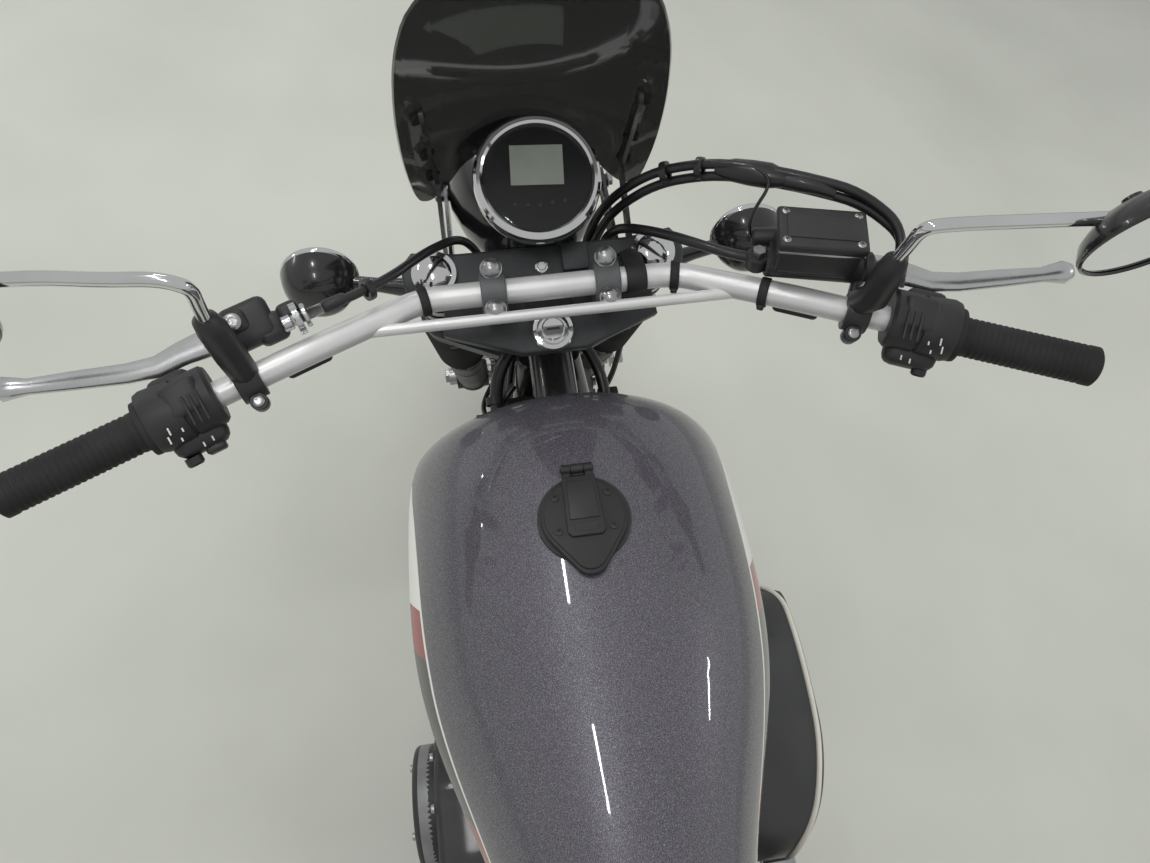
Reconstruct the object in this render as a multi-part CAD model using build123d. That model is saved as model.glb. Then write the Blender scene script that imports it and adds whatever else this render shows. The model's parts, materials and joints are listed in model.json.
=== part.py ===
"""A scrambler motorcycle, parked on its side stand: separate solids that bolt, clamp or turn on each other.

Upright bike frame: X forward, Y to the rider's left, Z up, in millimetres, with X = 0 at the rear axle and
Z = 0 on the ground. Steering frame, (ahead, left, up): up runs along the steering axis, ahead is square to
it, and the origin is the foot of the front axle on that axis. Every piece is made upright, and parked last:
the bike leans over on its tyres, and the origin moves to the middle of its footprint."""

import math
import os

from build123d import *

# Stance
wheelbase = 1575.0
rake = 28.4
fork_offset = 43.0
lean = 10.0

# Wheels and brakes
front_tyre_radius = 331.0
front_tyre_width = 100.0
front_rim_radius = 241.0
front_rim_width = 62.0
rear_tyre_radius = 328.0
rear_tyre_width = 140.0
rear_rim_radius = 216.0
rear_rim_width = 94.0
tyre_crown_share = 0.52
spoke_count = 36
spoke_radius = 2.2
hub_shaft = 24.0
hub_boss = 40.0
front_flange_half = 38.0
front_flange_radius = 46.0
rear_flange_half = 44.0
rear_flange_radius = 58.0
front_disc_seat = 58.0
rear_disc_seat = 78.0
front_hub_half = 68.0
rear_hub_half = 106.0
front_axle_radius = 8.5
rear_axle_radius = 9.5
disc_radius = 149.0
disc_band = 34.0
disc_thickness = 5.0
disc_hole_count = 24
caliper_gap = 2.5
running_gap = 0.3

# Belt drive
pulley_radius = 104.0
pulley_seat = 76.0
belt_width = 22.0
belt_thickness = 4.5
drive_pulley_radius = 38.0
drive_pulley_place = (625.0, 350.0)

# Fork and clamps
fork_half = 102.0
stanchion_radius = 20.5
stanchion_low = 30.0
stanchion_proud = 6.0
slider_radius = 27.0
slider_top = 300.0
gaiter_radius = 34.0
gaiter_root = 27.5
gaiter_top = 500.0
gaiter_rib_count = 13
lower_clamp_thickness = 32.0
upper_clamp_low = 674.0
upper_clamp_thickness = 22.0
stem_radius = 16.0
head_tube_radius = 28.0
bearing_gap = 0.5

# Handlebar and its controls; bar points are (ahead, left, up) from the bar's middle, and the bar's rise is
# above the upper clamp
bar_rise = 37.0
bar_e = 12.0
bar_radius = 11.1
bar_bend_y = 112.0
bar_knee = (-40.0, 205.0, 34.0)
bar_end = (-132.0, 436.0, 72.0)
bar_bend_radius = 70.0
brace_y = 172.0
brace_radius = 5.0
brace_set_back = 0.5
brace_drop = 5.0
bar_clamp_half = 50.0
bar_clamp_width = 22.0
bar_clamp_reach = 21.0
bar_clamp_cap = 17.0
grip_inner = 329.0
grip_radius = 16.0
grip_length = 114.0
switch_length = 56.0
perch_y = 218.0
master_y = 214.0
master_sweep = 14.0
master_radius = 13.0
master_inner = 38.0
master_outer = 50.0
lever_reach = 214.0
mirror_y = 254.0
mirror_clamp_width = 20.0
mirror_rise = 162.0
mirror_head_y = 425.0
mirror_head_radius = 55.0
gauge_e = 108.0
gauge_seat = 2.0
gauge_thickness = 44.0
gauge_radius = 57.0
signal_radius = 38.5
signal_half = 223.0
ear_rise = 42.0
ear_grip = 12.0
strut_drop = 60.0

# Headlight and fly screen
headlight_x = 1430.0
headlight_z = 850.0
headlight_radius = 88.0
screen_bow = 206.0
screen_e = 185.0
screen_thickness = 3.0

# Engine: crankshaft place, cylinder axes and the heights of barrel, head and cover along them
engine_x = 835.0
engine_z = 375.0
cylinder_angle = 30.0
case_half = 100.0
barrel_low = 105.0
barrel_high = 248.0
head_high = 322.0
rocker_high = 352.0
fin_reach = 76.0
fin_half = 84.0
fin_thickness = 3.2
fin_count = 9
left_cover_face = 218.0
right_cover_face = 160.0

# Frame
cradle_half = 85.0
cradle_low = 190.0
cradle_radius = 16.0
waist_half = 58.0
rail_half = 100.0
rail_radius = 12.0
rail_z = 752.0
rail_end = -108.0
rack_holes = (40.0, -80.0)
rack_hole_radius = 3.4
rack_hole_depth = 16.0
rack_boss_reach = 30.0
backbone_radius = 22.5
backbone_front_z = 835.0
backbone_rear = (575.0, 745.0)
pivot_x = 535.0
pivot_z = 345.0
arm_inner = 112.0
arm_width = 26.0
arm_radius = 26.0
shock_half = 152.0
shock_low = (50.0, 388.0)
shock_high = (165.0, 690.0)

# Tank, seat and fenders
tank_front = 1146.0
tank_rear = 640.0
tank_top = 914.0
tank_underside = 716.0
cap_x = 994.0
cap_radius = 35.0
cap_tail = 36.0
cap_tail_radius = 14.0
seat_top = 830.0
seat_rear = -110.0
fender_thickness = 3.0
front_fender_radius = 346.0
rear_fender_radius = 378.0

# Side stand, as it stands: (forward, left, up)
stand_pivot = (740.0, 122.0, 186.0)
stand_foot = (775.0, 262.0)
stand_radius = 10.0

# Derived places
low_end = (Align.CENTER, Align.CENTER, Align.MIN)
crown_front = tyre_crown_share * front_tyre_width
crown_rear = tyre_crown_share * rear_tyre_width
slant = 1.0 / math.cos(math.radians(lean))
front_axle = Vector(wheelbase, 0, front_tyre_radius - crown_front + crown_front * slant)
rear_axle = Vector(0, 0, rear_tyre_radius - crown_rear + crown_rear * slant)
steer_up = Vector(-math.sin(math.radians(rake)), 0, math.cos(math.radians(rake)))
steer_ahead = Vector(math.cos(math.radians(rake)), 0, math.sin(math.radians(rake)))
steer_foot = front_axle - steer_ahead * fork_offset
steer_frame = Plane(origin=steer_foot, x_dir=steer_ahead, z_dir=steer_up).location
upper_clamp_top = upper_clamp_low + upper_clamp_thickness
stanchion_top = upper_clamp_top + stanchion_proud
bar_w = upper_clamp_top + bar_rise
mirror_corner_w = bar_w + mirror_rise
gauge_low = upper_clamp_top + gauge_seat
lower_clamp_top = gaiter_top + lower_clamp_thickness
rail_top = rail_z + rail_radius

nodes = {}


def keep(name, *shapes):
    """Files one node's solids under its name."""
    solids = [s for shape in shapes for s in shape.solids()]
    nodes[name] = solids[0] if len(solids) == 1 else Compound(solids)


def rod(start, end, radius):
    """A round bar from one point to another."""
    a, b = Vector(*start), Vector(*end)
    return Plane(origin=a, z_dir=b - a).location * Cylinder(radius, (b - a).length, align=low_end)


def tube(points, radius, bend):
    """A round bar swept along straight runs with rounded corners."""
    path = FilletPolyline(*points, radius=bend)
    return sweep(Plane(origin=path @ 0, z_dir=path % 0) * Circle(radius), path=path)


def cable(points, radius):
    """A thin hose or cable, each corner as round as its two runs allow."""
    runs = [Vector(*b) - Vector(*a) for a, b in zip(points, points[1:])]
    bends = []
    for before, after in zip(runs, runs[1:]):
        turn = math.radians(before.get_angle(after))
        bends.append(0.45 * min(before.length, after.length) / math.tan(turn / 2))
    return tube(points, radius, bends)


def ring(outer, inner, low, high):
    """A washer about the Z axis between two heights."""
    face = Circle(outer) - Circle(inner) if inner else Circle(outer)
    return Pos(0, 0, low) * extrude(face, high - low)


def lathe(outline):
    """Turns a closed outline of (radius, height) points about the Z axis."""
    return revolve(Plane.XZ * make_face(Polyline(*outline, close=True)), Axis.Z, 360)


def across(shape, centre):
    """Turns a shape made about Z so that +Z points to the rider's left, and moves it to a centre."""
    return Pos(*centre) * (Rot(-90, 0, 0) * shape)


def box_between(low, high):
    """A box given by its two corners."""
    size = [b - a for a, b in zip(low, high)]
    return Pos(*low) * Box(*size, align=(Align.MIN, Align.MIN, Align.MIN))


def link_plate(circles, y_low, y_high):
    """A plate square to Y whose outline wraps circles given as (x, z, radius)."""
    rims = [(Pos(x, z) * Circle(r)).edges()[0] for x, z, r in circles]
    face = Plane.XZ * make_hull(rims)
    return Pos(0, y_high, 0) * extrude(face, y_high - y_low)


def mirrored(shape):
    """The same piece on the other side of the bike."""
    return mirror(shape, about=Plane.XZ)


# Wheels


def tyre(radius, width, rim_radius, rim_width, centre):
    crown = tyre_crown_share * width
    spread = math.radians(72)
    edge = radius - crown + crown * math.cos(spread)
    half = crown * math.sin(spread)
    seat = rim_radius + running_gap
    bead = rim_width / 2 - 6.5
    with BuildLine() as line:
        ThreePointArc((edge, -half), (radius, 0), (edge, half))
        Polyline(
            (edge, half),
            (rim_radius + 26, bead + 10),
            (rim_radius + 14, bead),
            (seat, bead),
            (seat, -bead),
            (rim_radius + 14, -bead),
            (rim_radius + 26, -bead - 10),
            (edge, -half),
        )
    return across(revolve(Plane.XZ * make_face(line.line), Axis.Z, 360), centre)


def wire_wheel(
    rim_radius, rim_width, flange_half, flange_radius, hub_half, disc_seat, left_seat, bore, centre
):
    """Rim, laced spokes and hub as one solid, its disc seat on the right."""
    half = rim_width / 2
    rim = lathe(
        [
            (rim_radius + 12, -half),
            (rim_radius + 12, -half + 5),
            (rim_radius, -half + 6),
            (rim_radius, half - 6),
            (rim_radius + 12, half - 5),
            (rim_radius + 12, half),
            (rim_radius - 4, half),
            (rim_radius - 15, half * 0.45),
            (rim_radius - 15, -half * 0.45),
            (rim_radius - 4, -half),
        ]
    )
    flange = flange_half + 5
    hub = lathe(
        [
            (bore, -hub_half),
            (hub_shaft, -hub_half),
            (hub_shaft, -disc_seat),
            (hub_boss, -disc_seat),
            (hub_boss, -flange),
            (flange_radius, -flange),
            (flange_radius, -flange_half),
            (hub_boss - 10, -flange_half + 6),
            (hub_boss - 10, flange_half - 6),
            (flange_radius, flange_half),
            (flange_radius, flange),
            (hub_boss, flange),
            (hub_boss, left_seat),
            (hub_shaft, left_seat),
            (hub_shaft, hub_half),
            (bore, hub_half),
        ]
    )
    spokes = []
    for i in range(spoke_count):
        side = 1 if i % 2 else -1
        lead = 1 if (i // 2) % 2 else -1
        rim_angle = math.radians(360.0 * i / spoke_count)
        hub_angle = rim_angle + lead * math.radians(50)
        hub_r, rim_r = flange_radius - 5, rim_radius - 9
        start = (hub_r * math.cos(hub_angle), hub_r * math.sin(hub_angle), side * (flange_half + 2.5))
        end = (rim_r * math.cos(rim_angle), rim_r * math.sin(rim_angle), side * half * 0.25)
        spokes.append(rod(start, end, spoke_radius))
    return across(rim + hub + spokes, centre)


def brake_disc(centre, seat):
    """A drilled disc and its spider on the right of a hub, the inboard face against the hub's seat."""
    band = Circle(disc_radius) - Circle(disc_radius - disc_band)
    spider = Circle(hub_shaft + 20) - Circle(hub_shaft)
    arm_length = disc_radius - disc_band - hub_shaft - 12
    arms = [
        Rot(0, 0, 60 * i) * (Pos(hub_shaft + 14 + arm_length / 2, 0) * Rectangle(arm_length + 4, 16))
        for i in range(6)
    ]
    holes = [
        Rot(0, 0, 360.0 * i / disc_hole_count) * (Pos(disc_radius - 9 - 8 * (i % 3), 0) * Circle(3.2))
        for i in range(disc_hole_count)
    ]
    plate = band + spider + arms - holes
    return across(Pos(0, 0, -seat - disc_thickness) * extrude(plate, disc_thickness), centre)


keep("front_tyre", tyre(front_tyre_radius, front_tyre_width, front_rim_radius, front_rim_width, front_axle))
keep("rear_tyre", tyre(rear_tyre_radius, rear_tyre_width, rear_rim_radius, rear_rim_width, rear_axle))
keep(
    "front_wire_wheel",
    wire_wheel(
        front_rim_radius,
        front_rim_width,
        front_flange_half,
        front_flange_radius,
        front_hub_half,
        front_disc_seat,
        front_flange_half + 10,
        front_axle_radius + running_gap,
        front_axle,
    ),
)
keep(
    "rear_wire_wheel",
    wire_wheel(
        rear_rim_radius,
        rear_rim_width,
        rear_flange_half,
        rear_flange_radius,
        rear_hub_half,
        rear_disc_seat,
        pulley_seat,
        rear_axle_radius + running_gap,
        rear_axle,
    ),
)
keep("front_disc", brake_disc(front_axle, front_disc_seat))
keep("rear_disc", brake_disc(rear_axle, rear_disc_seat))

belt_mid = pulley_seat + 3 + belt_width / 2
pulley_out = pulley_seat + 6 + belt_width
pulley = lathe(
    [
        (hub_shaft, pulley_seat),
        (pulley_radius + 7, pulley_seat),
        (pulley_radius + 7, pulley_seat + 2),
        (pulley_radius, pulley_seat + 2),
        (pulley_radius, pulley_out - 2),
        (pulley_radius + 7, pulley_out - 2),
        (pulley_radius + 7, pulley_out),
        (pulley_radius - 14, pulley_out),
        (pulley_radius - 18, pulley_seat + 10),
        (hub_shaft + 14, pulley_seat + 10),
        (hub_shaft + 10, pulley_seat + 18),
        (hub_shaft, pulley_seat + 18),
    ]
)
lightening = [Rot(0, 0, 72 * i) * (Pos(62, 0, pulley_seat + 5) * Cylinder(15, 30)) for i in range(5)]
keep("rear_pulley", across(pulley - lightening, rear_axle))

# Front fork and clamps


def steer(shape):
    """Puts a shape made in the steering frame on the bike."""
    return steer_frame * shape


def steer_point(e, y, w):
    """A point of the steering frame as it lies on the bike."""
    return steer_foot + steer_ahead * e + steer_up * w + Vector(0, y, 0)


def fork_pair(shape):
    """Both legs' copies of a shape made on the steering axis."""
    return [Pos(fork_offset, side * fork_half, 0) * shape for side in (-1, 1)]


def upright(radius, low, high):
    return Pos(0, 0, low) * Cylinder(radius, high - low, align=low_end)


stanchions = fork_pair(upright(stanchion_radius, stanchion_low, stanchion_top))
keep("fork_tubes", *[steer(s) for s in stanchions])

axle_boss = Rot(90, 0, 0) * Cylinder(23, 2 * slider_radius)
axle_hole = Rot(90, 0, 0) * Cylinder(front_axle_radius, 400)
slider = upright(slider_radius, -12, slider_top) + axle_boss - axle_hole
slider = slider - upright(stanchion_radius, stanchion_low, slider_top + 1)
sliders = fork_pair(slider)
keep("fork_sliders", *[steer(s) for s in sliders])

slider_outer = fork_half + slider_radius
collar_low, collar_high = front_hub_half + running_gap, fork_half - slider_radius
collar = Rot(-90, 0, 0) * ring(15, front_axle_radius - 1, collar_low, collar_high)
axle_parts = Rot(90, 0, 0) * Cylinder(front_axle_radius, 2 * (slider_outer + 8))
axle_parts = axle_parts + Rot(-90, 0, 0) * (Pos(0, 0, slider_outer) * Cylinder(15, 12, align=low_end))
axle_parts = axle_parts + collar + mirrored(collar)
keep("front_axle", steer(Pos(fork_offset, 0, 0) * axle_parts))

gaiter_step = (gaiter_top - slider_top) / gaiter_rib_count
gaiter_outline = [(stanchion_radius, slider_top)]
for i in range(gaiter_rib_count):
    rib_low = slider_top + i * gaiter_step
    gaiter_outline += [(gaiter_root, rib_low), (gaiter_radius, rib_low + gaiter_step / 2)]
gaiter_outline += [(gaiter_root, gaiter_top), (stanchion_radius, gaiter_top)]
keep("fork_gaiters", *[steer(s) for s in fork_pair(lathe(gaiter_outline))])

fork_holes = fork_pair(Circle(stanchion_radius))
lower_face = make_hull([c.edges()[0] for c in fork_pair(Circle(31)) + [Circle(33)]])
lower_plate = Pos(0, 0, gaiter_top) * extrude(lower_face - fork_holes, lower_clamp_thickness)
keep("lower_clamp", steer(lower_plate + upright(stem_radius, gaiter_top, upper_clamp_top)))

clamp_half = [(62, 88), (22, 118), (-10, 92), (-40, 22)]
clamp_outline = clamp_half + [(e, -y) for e, y in reversed(clamp_half)]
upper_face = make_face(Polyline(*clamp_outline, close=True)) + fork_pair(Circle(29))
upper_face = upper_face - fork_holes - Circle(stem_radius)
upper_plate = Pos(0, 0, upper_clamp_low) * extrude(upper_face, upper_clamp_thickness)
ignition_lock = Pos(-27, 0, 0) * upright(10.5, upper_clamp_top, upper_clamp_top + 14)
keep("upper_clamp", steer(upper_plate + ignition_lock))

# Handlebar and its controls

bar_half = [(bar_e, bar_bend_y, bar_w)] + [(bar_e + e, y, bar_w + w) for e, y, w in (bar_knee, bar_end)]
bar_points = [(e, -y, w) for e, y, w in reversed(bar_half)] + bar_half
bar = tube(bar_points, bar_radius, bar_bend_radius)


def on_bar(y):
    """The bar's centre line at a distance to the left, on its two raised runs."""
    before, after = bar_half[:2] if y < bar_knee[1] else bar_half[1:]
    share = (y - before[1]) / (after[1] - before[1])
    return tuple(a + share * (b - a) for a, b in zip(before, after))


def bar_place(y):
    """A frame on the bar's left half, Z outward along the bar and X ahead."""
    here = Vector(*on_bar(y))
    along = (Vector(*on_bar(y + 5)) - here).normalized()
    ahead = Vector(1, 0, 0) - along * along.X
    return Plane(origin=here, x_dir=ahead, z_dir=along).location


brace_end = Vector(*on_bar(brace_y)) - Vector(brace_set_back, 0, brace_drop)
brace = rod(brace_end, (brace_end.X, -brace_y, brace_end.Z), brace_radius)
keep("handlebar", steer(bar + brace))

clamp_low = (bar_e - bar_clamp_reach, bar_clamp_half - bar_clamp_width / 2, upper_clamp_top)
clamp_high = (bar_e + bar_clamp_reach, bar_clamp_half + bar_clamp_width / 2, bar_w + bar_clamp_cap)
bar_clamp = box_between(clamp_low, clamp_high) - bar
keep("bar_clamps", steer(bar_clamp), steer(mirrored(bar_clamp)))

grip = Cylinder(grip_radius, grip_length, align=low_end) + Cylinder(21, 5, align=low_end)
grip = bar_place(grip_inner) * grip - bar
keep("grips", steer(grip), steer(mirrored(grip)))

switch_box = Pos(3, 0, -switch_length / 2) * Box(48, 44, switch_length)
switch_box = fillet(switch_box.edges().filter_by(Axis.Z), 12)
switch = bar_place(grip_inner) * switch_box - bar
keep("switchgear", steer(switch), steer(mirrored(switch)))

mirror_clamp = bar_place(mirror_y) * Cylinder(17, mirror_clamp_width)
clamp_edge = mirror_clamp_width / 2
mirror_side = bar_place(mirror_y) * box_between((10, -6, -clamp_edge), (34, 8, clamp_edge))
perch_body = bar_place(perch_y) * (Pos(30, 0, 4) * Box(26, 20, 26) + Pos(40, 0, 18) * Box(38, 20, 40))
perch = perch_body + mirror_side - mirror_clamp - bar
perch_middle = Vector(*on_bar(perch_y))
lever_root = perch_middle + Vector(25, 28, 5)
lever_elbow = lever_root + Vector(-8, 54, 2)
lever_knee = lever_elbow + Vector(-16, 30, 2)
lever_tip = perch_middle + Vector(-1, lever_reach, 13)
lever = tube([lever_root, lever_elbow, lever_knee, lever_tip], 6.5, [40, 40])
lever = lever + Pos(*lever_tip) * (Pos(0, 6, 0) * Sphere(10))
lever = lever - perch

# The reservoir is level with the ground when the bike is upright, and its cylinder follows the bar's sweep
master_level = Pos(*on_bar(master_y)) * Rot(0, rake, 0) * Rot(0, 0, master_sweep)
reservoir = fillet(box_between((0, -35, 29), (44, 35, 64)).edges(), 3)
master = rod((24, -master_inner, 19), (24, master_outer, 19), master_radius) + reservoir
master = master_level * master + mirror_side - mirror_clamp
master = mirrored(master) - bar
brake_lever = mirrored(lever) - master
keep("lever_perches", steer(perch), steer(master))
keep("hand_levers", steer(lever), steer(brake_lever))

mirror_base = on_bar(mirror_y)
stems = []
heads = []
for side, corner_e, elbow_e in ((1, -2.0, 14.0), (-1, -12.0, -20.0)):
    root = (mirror_base[0] + 6, mirror_y, mirror_base[2] + 12)
    boot_top = (corner_e - 10, mirror_y + 4, mirror_corner_w - 45)
    corner = (corner_e, mirror_y + 6, mirror_corner_w)
    elbow = (elbow_e, mirror_head_y - 53, mirror_corner_w + 8)
    head_place = (elbow_e - 14, mirror_head_y, mirror_corner_w + 10)
    boot = rod(root, boot_top, 10)
    stem = tube([boot_top, corner, elbow, head_place], 5, [18, 30])
    facing = Plane(origin=head_place, x_dir=(0, 1, 0), z_dir=(-0.93, 0.08, 0.25)).location
    shell = facing * lathe(
        [
            (0, -24),
            (mirror_head_radius * 0.6, -20),
            (mirror_head_radius * 0.94, -8),
            (mirror_head_radius, 2),
            (mirror_head_radius - 3, 6),
            (0, 6),
        ]
    )
    stem = mirror_clamp + boot + stem - bar - shell
    pair = (stem, shell) if side > 0 else (mirrored(stem), mirrored(shell))
    stems.append(steer(pair[0]))
    heads.append(steer(pair[1]))
keep("mirror_stems", *stems)
keep("mirror_heads", *heads)

# Gauge, headlight, fly screen and front signals

gauge = lathe(
    [
        (0, gauge_low),
        (38, gauge_low),
        (50, gauge_low + 10),
        (gauge_radius - 3, gauge_low + 28),
        (gauge_radius, gauge_low + 31),
        (gauge_radius, gauge_low + gauge_thickness),
        (gauge_radius - 6, gauge_low + gauge_thickness + 4),
        (gauge_radius - 9, gauge_low + gauge_thickness),
        (0, gauge_low + gauge_thickness),
    ]
)
keep("gauge", steer(Pos(gauge_e, 0, 0) * gauge))
gauge_arm = box_between((62, -15, gauge_low - 12), (gauge_e + 15, 15, gauge_low))

head_middle = (headlight_x, 0, headlight_z)
forward = Plane(origin=head_middle, x_dir=(0, 1, 0), z_dir=(1, 0, 0)).location
ear_bolt = (headlight_x + 22, headlight_z)
ear_w = lower_clamp_top + ear_rise
tube_at_ear = steer_point(fork_offset, 0, ear_w)
ear_inner = headlight_radius
ear_circles = [(*ear_bolt, 15), (tube_at_ear.X, tube_at_ear.Z, 22)]
ear = link_plate(ear_circles, ear_inner, ear_inner + 4)
ear = ear + rod((ear_bolt[0], ear_inner - 8, ear_bolt[1]), (ear_bolt[0], ear_inner + 9, ear_bolt[1]), 7)
ear_ring = ring(26, stanchion_radius, ear_w - ear_grip, ear_w + ear_grip)
ear = ear + steer(Pos(fork_offset, fork_half, 0) * ear_ring)
ears = [ear - steer(stanchions[1]), mirrored(ear - steer(stanchions[1]))]
bowl = lathe(
    [
        (0, -75),
        (30, -72),
        (58, -52),
        (78, -18),
        (headlight_radius, 16),
        (headlight_radius, 42),
        (headlight_radius - 4, 46),
        (headlight_radius - 6, 40),
        (0, 40),
    ]
)
bowl = forward * bowl - ears
keep("headlight_bowl", bowl)
lens = lathe([(0, 40), (headlight_radius - 7, 40), (headlight_radius - 9, 47), (60, 54), (30, 58), (0, 59)])
keep("headlight_lens", forward * lens)

screen_half = [(0, 640), (62, 632), (92, 575), (112, 572), (118, 610), (118, 700), (112, 790), (101, 860)]
screen_half += [(82, 912), (46, 938), (0, 945)]
screen_edge = Polyline(*screen_half, *[(-y, w) for y, w in reversed(screen_half[1:-1])], close=True)
screen_front = Plane.YZ * make_face(screen_edge)
bowed = Pos(screen_e - screen_bow, 0, 0) * ring(screen_bow, screen_bow - screen_thickness, 560, 960)
screen = extrude(screen_front, 300) & bowed
keep("fly_screen", steer(screen))

strut_w = upper_clamp_top - strut_drop
strut_knee = (150, strut_w + 9, 7)
strut = link_plate([(fork_offset, strut_w, 10), strut_knee], 90, 94)
strut = strut + link_plate([strut_knee, (155, 780, 7)], 90, 94)
strut = strut + Pos(fork_offset, fork_half, 0) * ring(25, stanchion_radius, strut_w - 8, strut_w + 8)
strut = strut - stanchions[1] - screen
keep("front_brackets", *ears, steer(gauge_arm), steer(strut), steer(mirrored(strut)))

signal_outline = [(0, -28), (20, -26), (32, -15), (signal_radius, 2)]
signal_outline += [(signal_radius - 3, 20), (18, 27), (0, 29)]
signal_body = lathe(signal_outline)
signal_w = ear_w + ear_grip + 24
signal_e = fork_offset + 25
signal_middle = steer_point(signal_e, signal_half, signal_w)
signal_lamp = Plane(origin=signal_middle, x_dir=(0, 1, 0), z_dir=(1, 0, 0)).location * signal_body
stalk = Pos(fork_offset, fork_half, 0) * ring(26, stanchion_radius, signal_w - 12, signal_w + 10)
stalk = stalk + rod((fork_offset + 10, fork_half + 22, signal_w), (signal_e, signal_half - 20, signal_w), 7)
stalk = steer(stalk) - signal_lamp - steer(stanchions[1])
keep("front_signals", signal_lamp, stalk, mirrored(signal_lamp), mirrored(stalk))

# Front fender, caliper and the lines that stay on the fork


def fender(radius, half_width, droop, start, end, centre):
    """A crowned strip round a wheel; angles run from straight ahead up and over to the rear."""
    inner = radius - fender_thickness
    with BuildLine() as line:
        ThreePointArc((radius - droop, -half_width), (radius, 0), (radius - droop, half_width))
        Line((radius - droop, half_width), (inner - droop, half_width - 1))
        ThreePointArc((inner - droop, half_width - 1), (inner, 0), (inner - droop, 1 - half_width))
        Line((inner - droop, 1 - half_width), (radius - droop, -half_width))
    strip = revolve(Plane.XZ * make_face(line.line), Axis.Z, end - start)
    return across(Rot(0, 0, -end) * strip, centre)


front_fender = fender(front_fender_radius + fender_thickness, 58, 20, 55, 165, front_axle)
leg_low, leg_high = (fork_offset - 15, 56, 258), (fork_offset + 15, fork_half - gaiter_radius - 1.5, 336)
leg_foot_high = (fork_offset + 15, fork_half - slider_radius + 3, slider_top - 2)
fender_leg = box_between(leg_low, leg_high) + box_between(leg_low, leg_foot_high)
fender_legs = steer(fender_leg - sliders[1]) + steer(mirrored(fender_leg - sliders[1]))
keep("front_fender", front_fender + fender_legs)

caliper_mid = (-73.0, 70.0)
caliper = Pos(caliper_mid[0], 0, caliper_mid[1]) * (Rot(0, 30, 0) * Box(68, 46, 92))
caliper = fillet(caliper.edges(), 5)
caliper = Pos(0, -front_disc_seat - disc_thickness / 2 - 5, 0) * caliper
lug = box_between((-54, -97, 52), (32, -76, 84)) - fork_pair(upright(slider_radius, 0, slider_top))[0]
slot_half = disc_thickness / 2 + caliper_gap
slot = Rot(90, 0, 0) * Cylinder(disc_radius + 6, 2 * slot_half)
slot = Pos(fork_offset, -front_disc_seat - disc_thickness / 2, 0) * slot
keep("front_caliper", steer(caliper + lug - slot))

clutch_route = [(-1, 203, 778), (12, 170, 769), (30, 135, 753), (54, 106, 732), (78, 76, 690)]
clutch_route += [(78, 60, 634), (58, 52, 578), (46, 50, lower_clamp_top)]
throttle_route = [(-36, -284, 794), (4, -294, 801), (38, -262, 800), (62, -210, 790), (86, -154, 768)]
throttle_route += [(94, -106, 738), (86, -68, 694), (70, -52, 636), (50, -48, 578)]
throttle_route += [(46, -46, lower_clamp_top)]
hose_route = [(5.6, -185, 770), (18, -150, 766), (46, -106, 744), (68, -74, 704), (78, -68, 640)]
hose_route += [(84, -72, 560), (84, -80, 480), (90, -100, 390), (80, -130, 290), (44, -140, 200)]
hose_route += [(-4, -124, 130), (-40, -98, 104)]
clutch_line = cable(clutch_route, 4) - perch - lower_plate
throttle_lines = []
for shift, rise in ((0, 0), (9, 5.4)):
    route = [(e + shift, y + 0.4 * shift, w + rise) for e, y, w in throttle_route[:-1]]
    route += [(46 + shift, -46 + 0.4 * shift, lower_clamp_top)]
    throttle_lines += [cable(route, 4.2)]
throttle_lines = [line - mirrored(switch) - lower_plate for line in throttle_lines]
hose = cable(hose_route, 4.5) - caliper - lug - master
keep("bar_cables", *[steer(line) for line in (clutch_line, *throttle_lines, hose)])

# Frame

head_low = steer_point(0, 0, lower_clamp_top + bearing_gap)
head_high_end = steer_point(0, 0, upper_clamp_low - bearing_gap)
head_tube = rod(head_low, head_high_end, head_tube_radius)
head_bore = rod(head_low, head_high_end, stem_radius + running_gap)
back_x, back_z = backbone_rear
backbone_start = steer_point(0, 0, lower_clamp_top + 80)
backbone = rod((backbone_start.X, 0, backbone_front_z), (back_x, 0, back_z), backbone_radius)
gusset = link_plate([(1262, 790, 14), (1225, 842, 14), (1080, 800, 10)], -8, 8)
cross_half = waist_half + 14
cross_tube = rod((back_x, -cross_half, back_z), (back_x, cross_half, back_z), cradle_radius)
spine = head_tube + backbone + gusset + cross_tube - head_bore
keep("frame_spine", spine)

swingarm_tube = rod((pivot_x, -arm_inner, pivot_z), (pivot_x, arm_inner, pivot_z), 21)

case = link_plate([(850, 370, 135), (685, 350, 92), (770, 290, 85)], -case_half, case_half + 7)
case = case - box_between((500, 70, 200), (677, 200, 480))
cradle_points = [
    (1236, 17, 812),
    (1152, cradle_half, 400),
    (1122, cradle_half, cradle_low),
    (690, cradle_half, cradle_low),
    (578, waist_half, 252),
    (560, waist_half, 345),
    (back_x, waist_half, back_z),
]


def cradle_side(side):
    """The looped tube on one side, the plate for the engine's front and the plate for the swingarm."""
    path = [(x, side * y, z) for x, y, z in cradle_points]
    return tube(path, cradle_radius, [150, 60, 60, 45, 60])


front_mount = box_between((950, cradle_half - 5, 300), (1136, cradle_half + 5, 345))
pivot_plate = box_between((505, waist_half - 8, 262), (604, waist_half + 12, 392))
plates = front_mount + pivot_plate
cradle_left = cradle_side(1) + plates - swingarm_tube - spine - head_tube - case
cradle_right = cradle_side(-1) + mirrored(plates) - swingarm_tube - spine - head_tube - case
case = case - cradle_side(1) - cradle_side(-1)
peg_bar = rod((580, waist_half + 12, 278), (580, 150, 278), 10)

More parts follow.
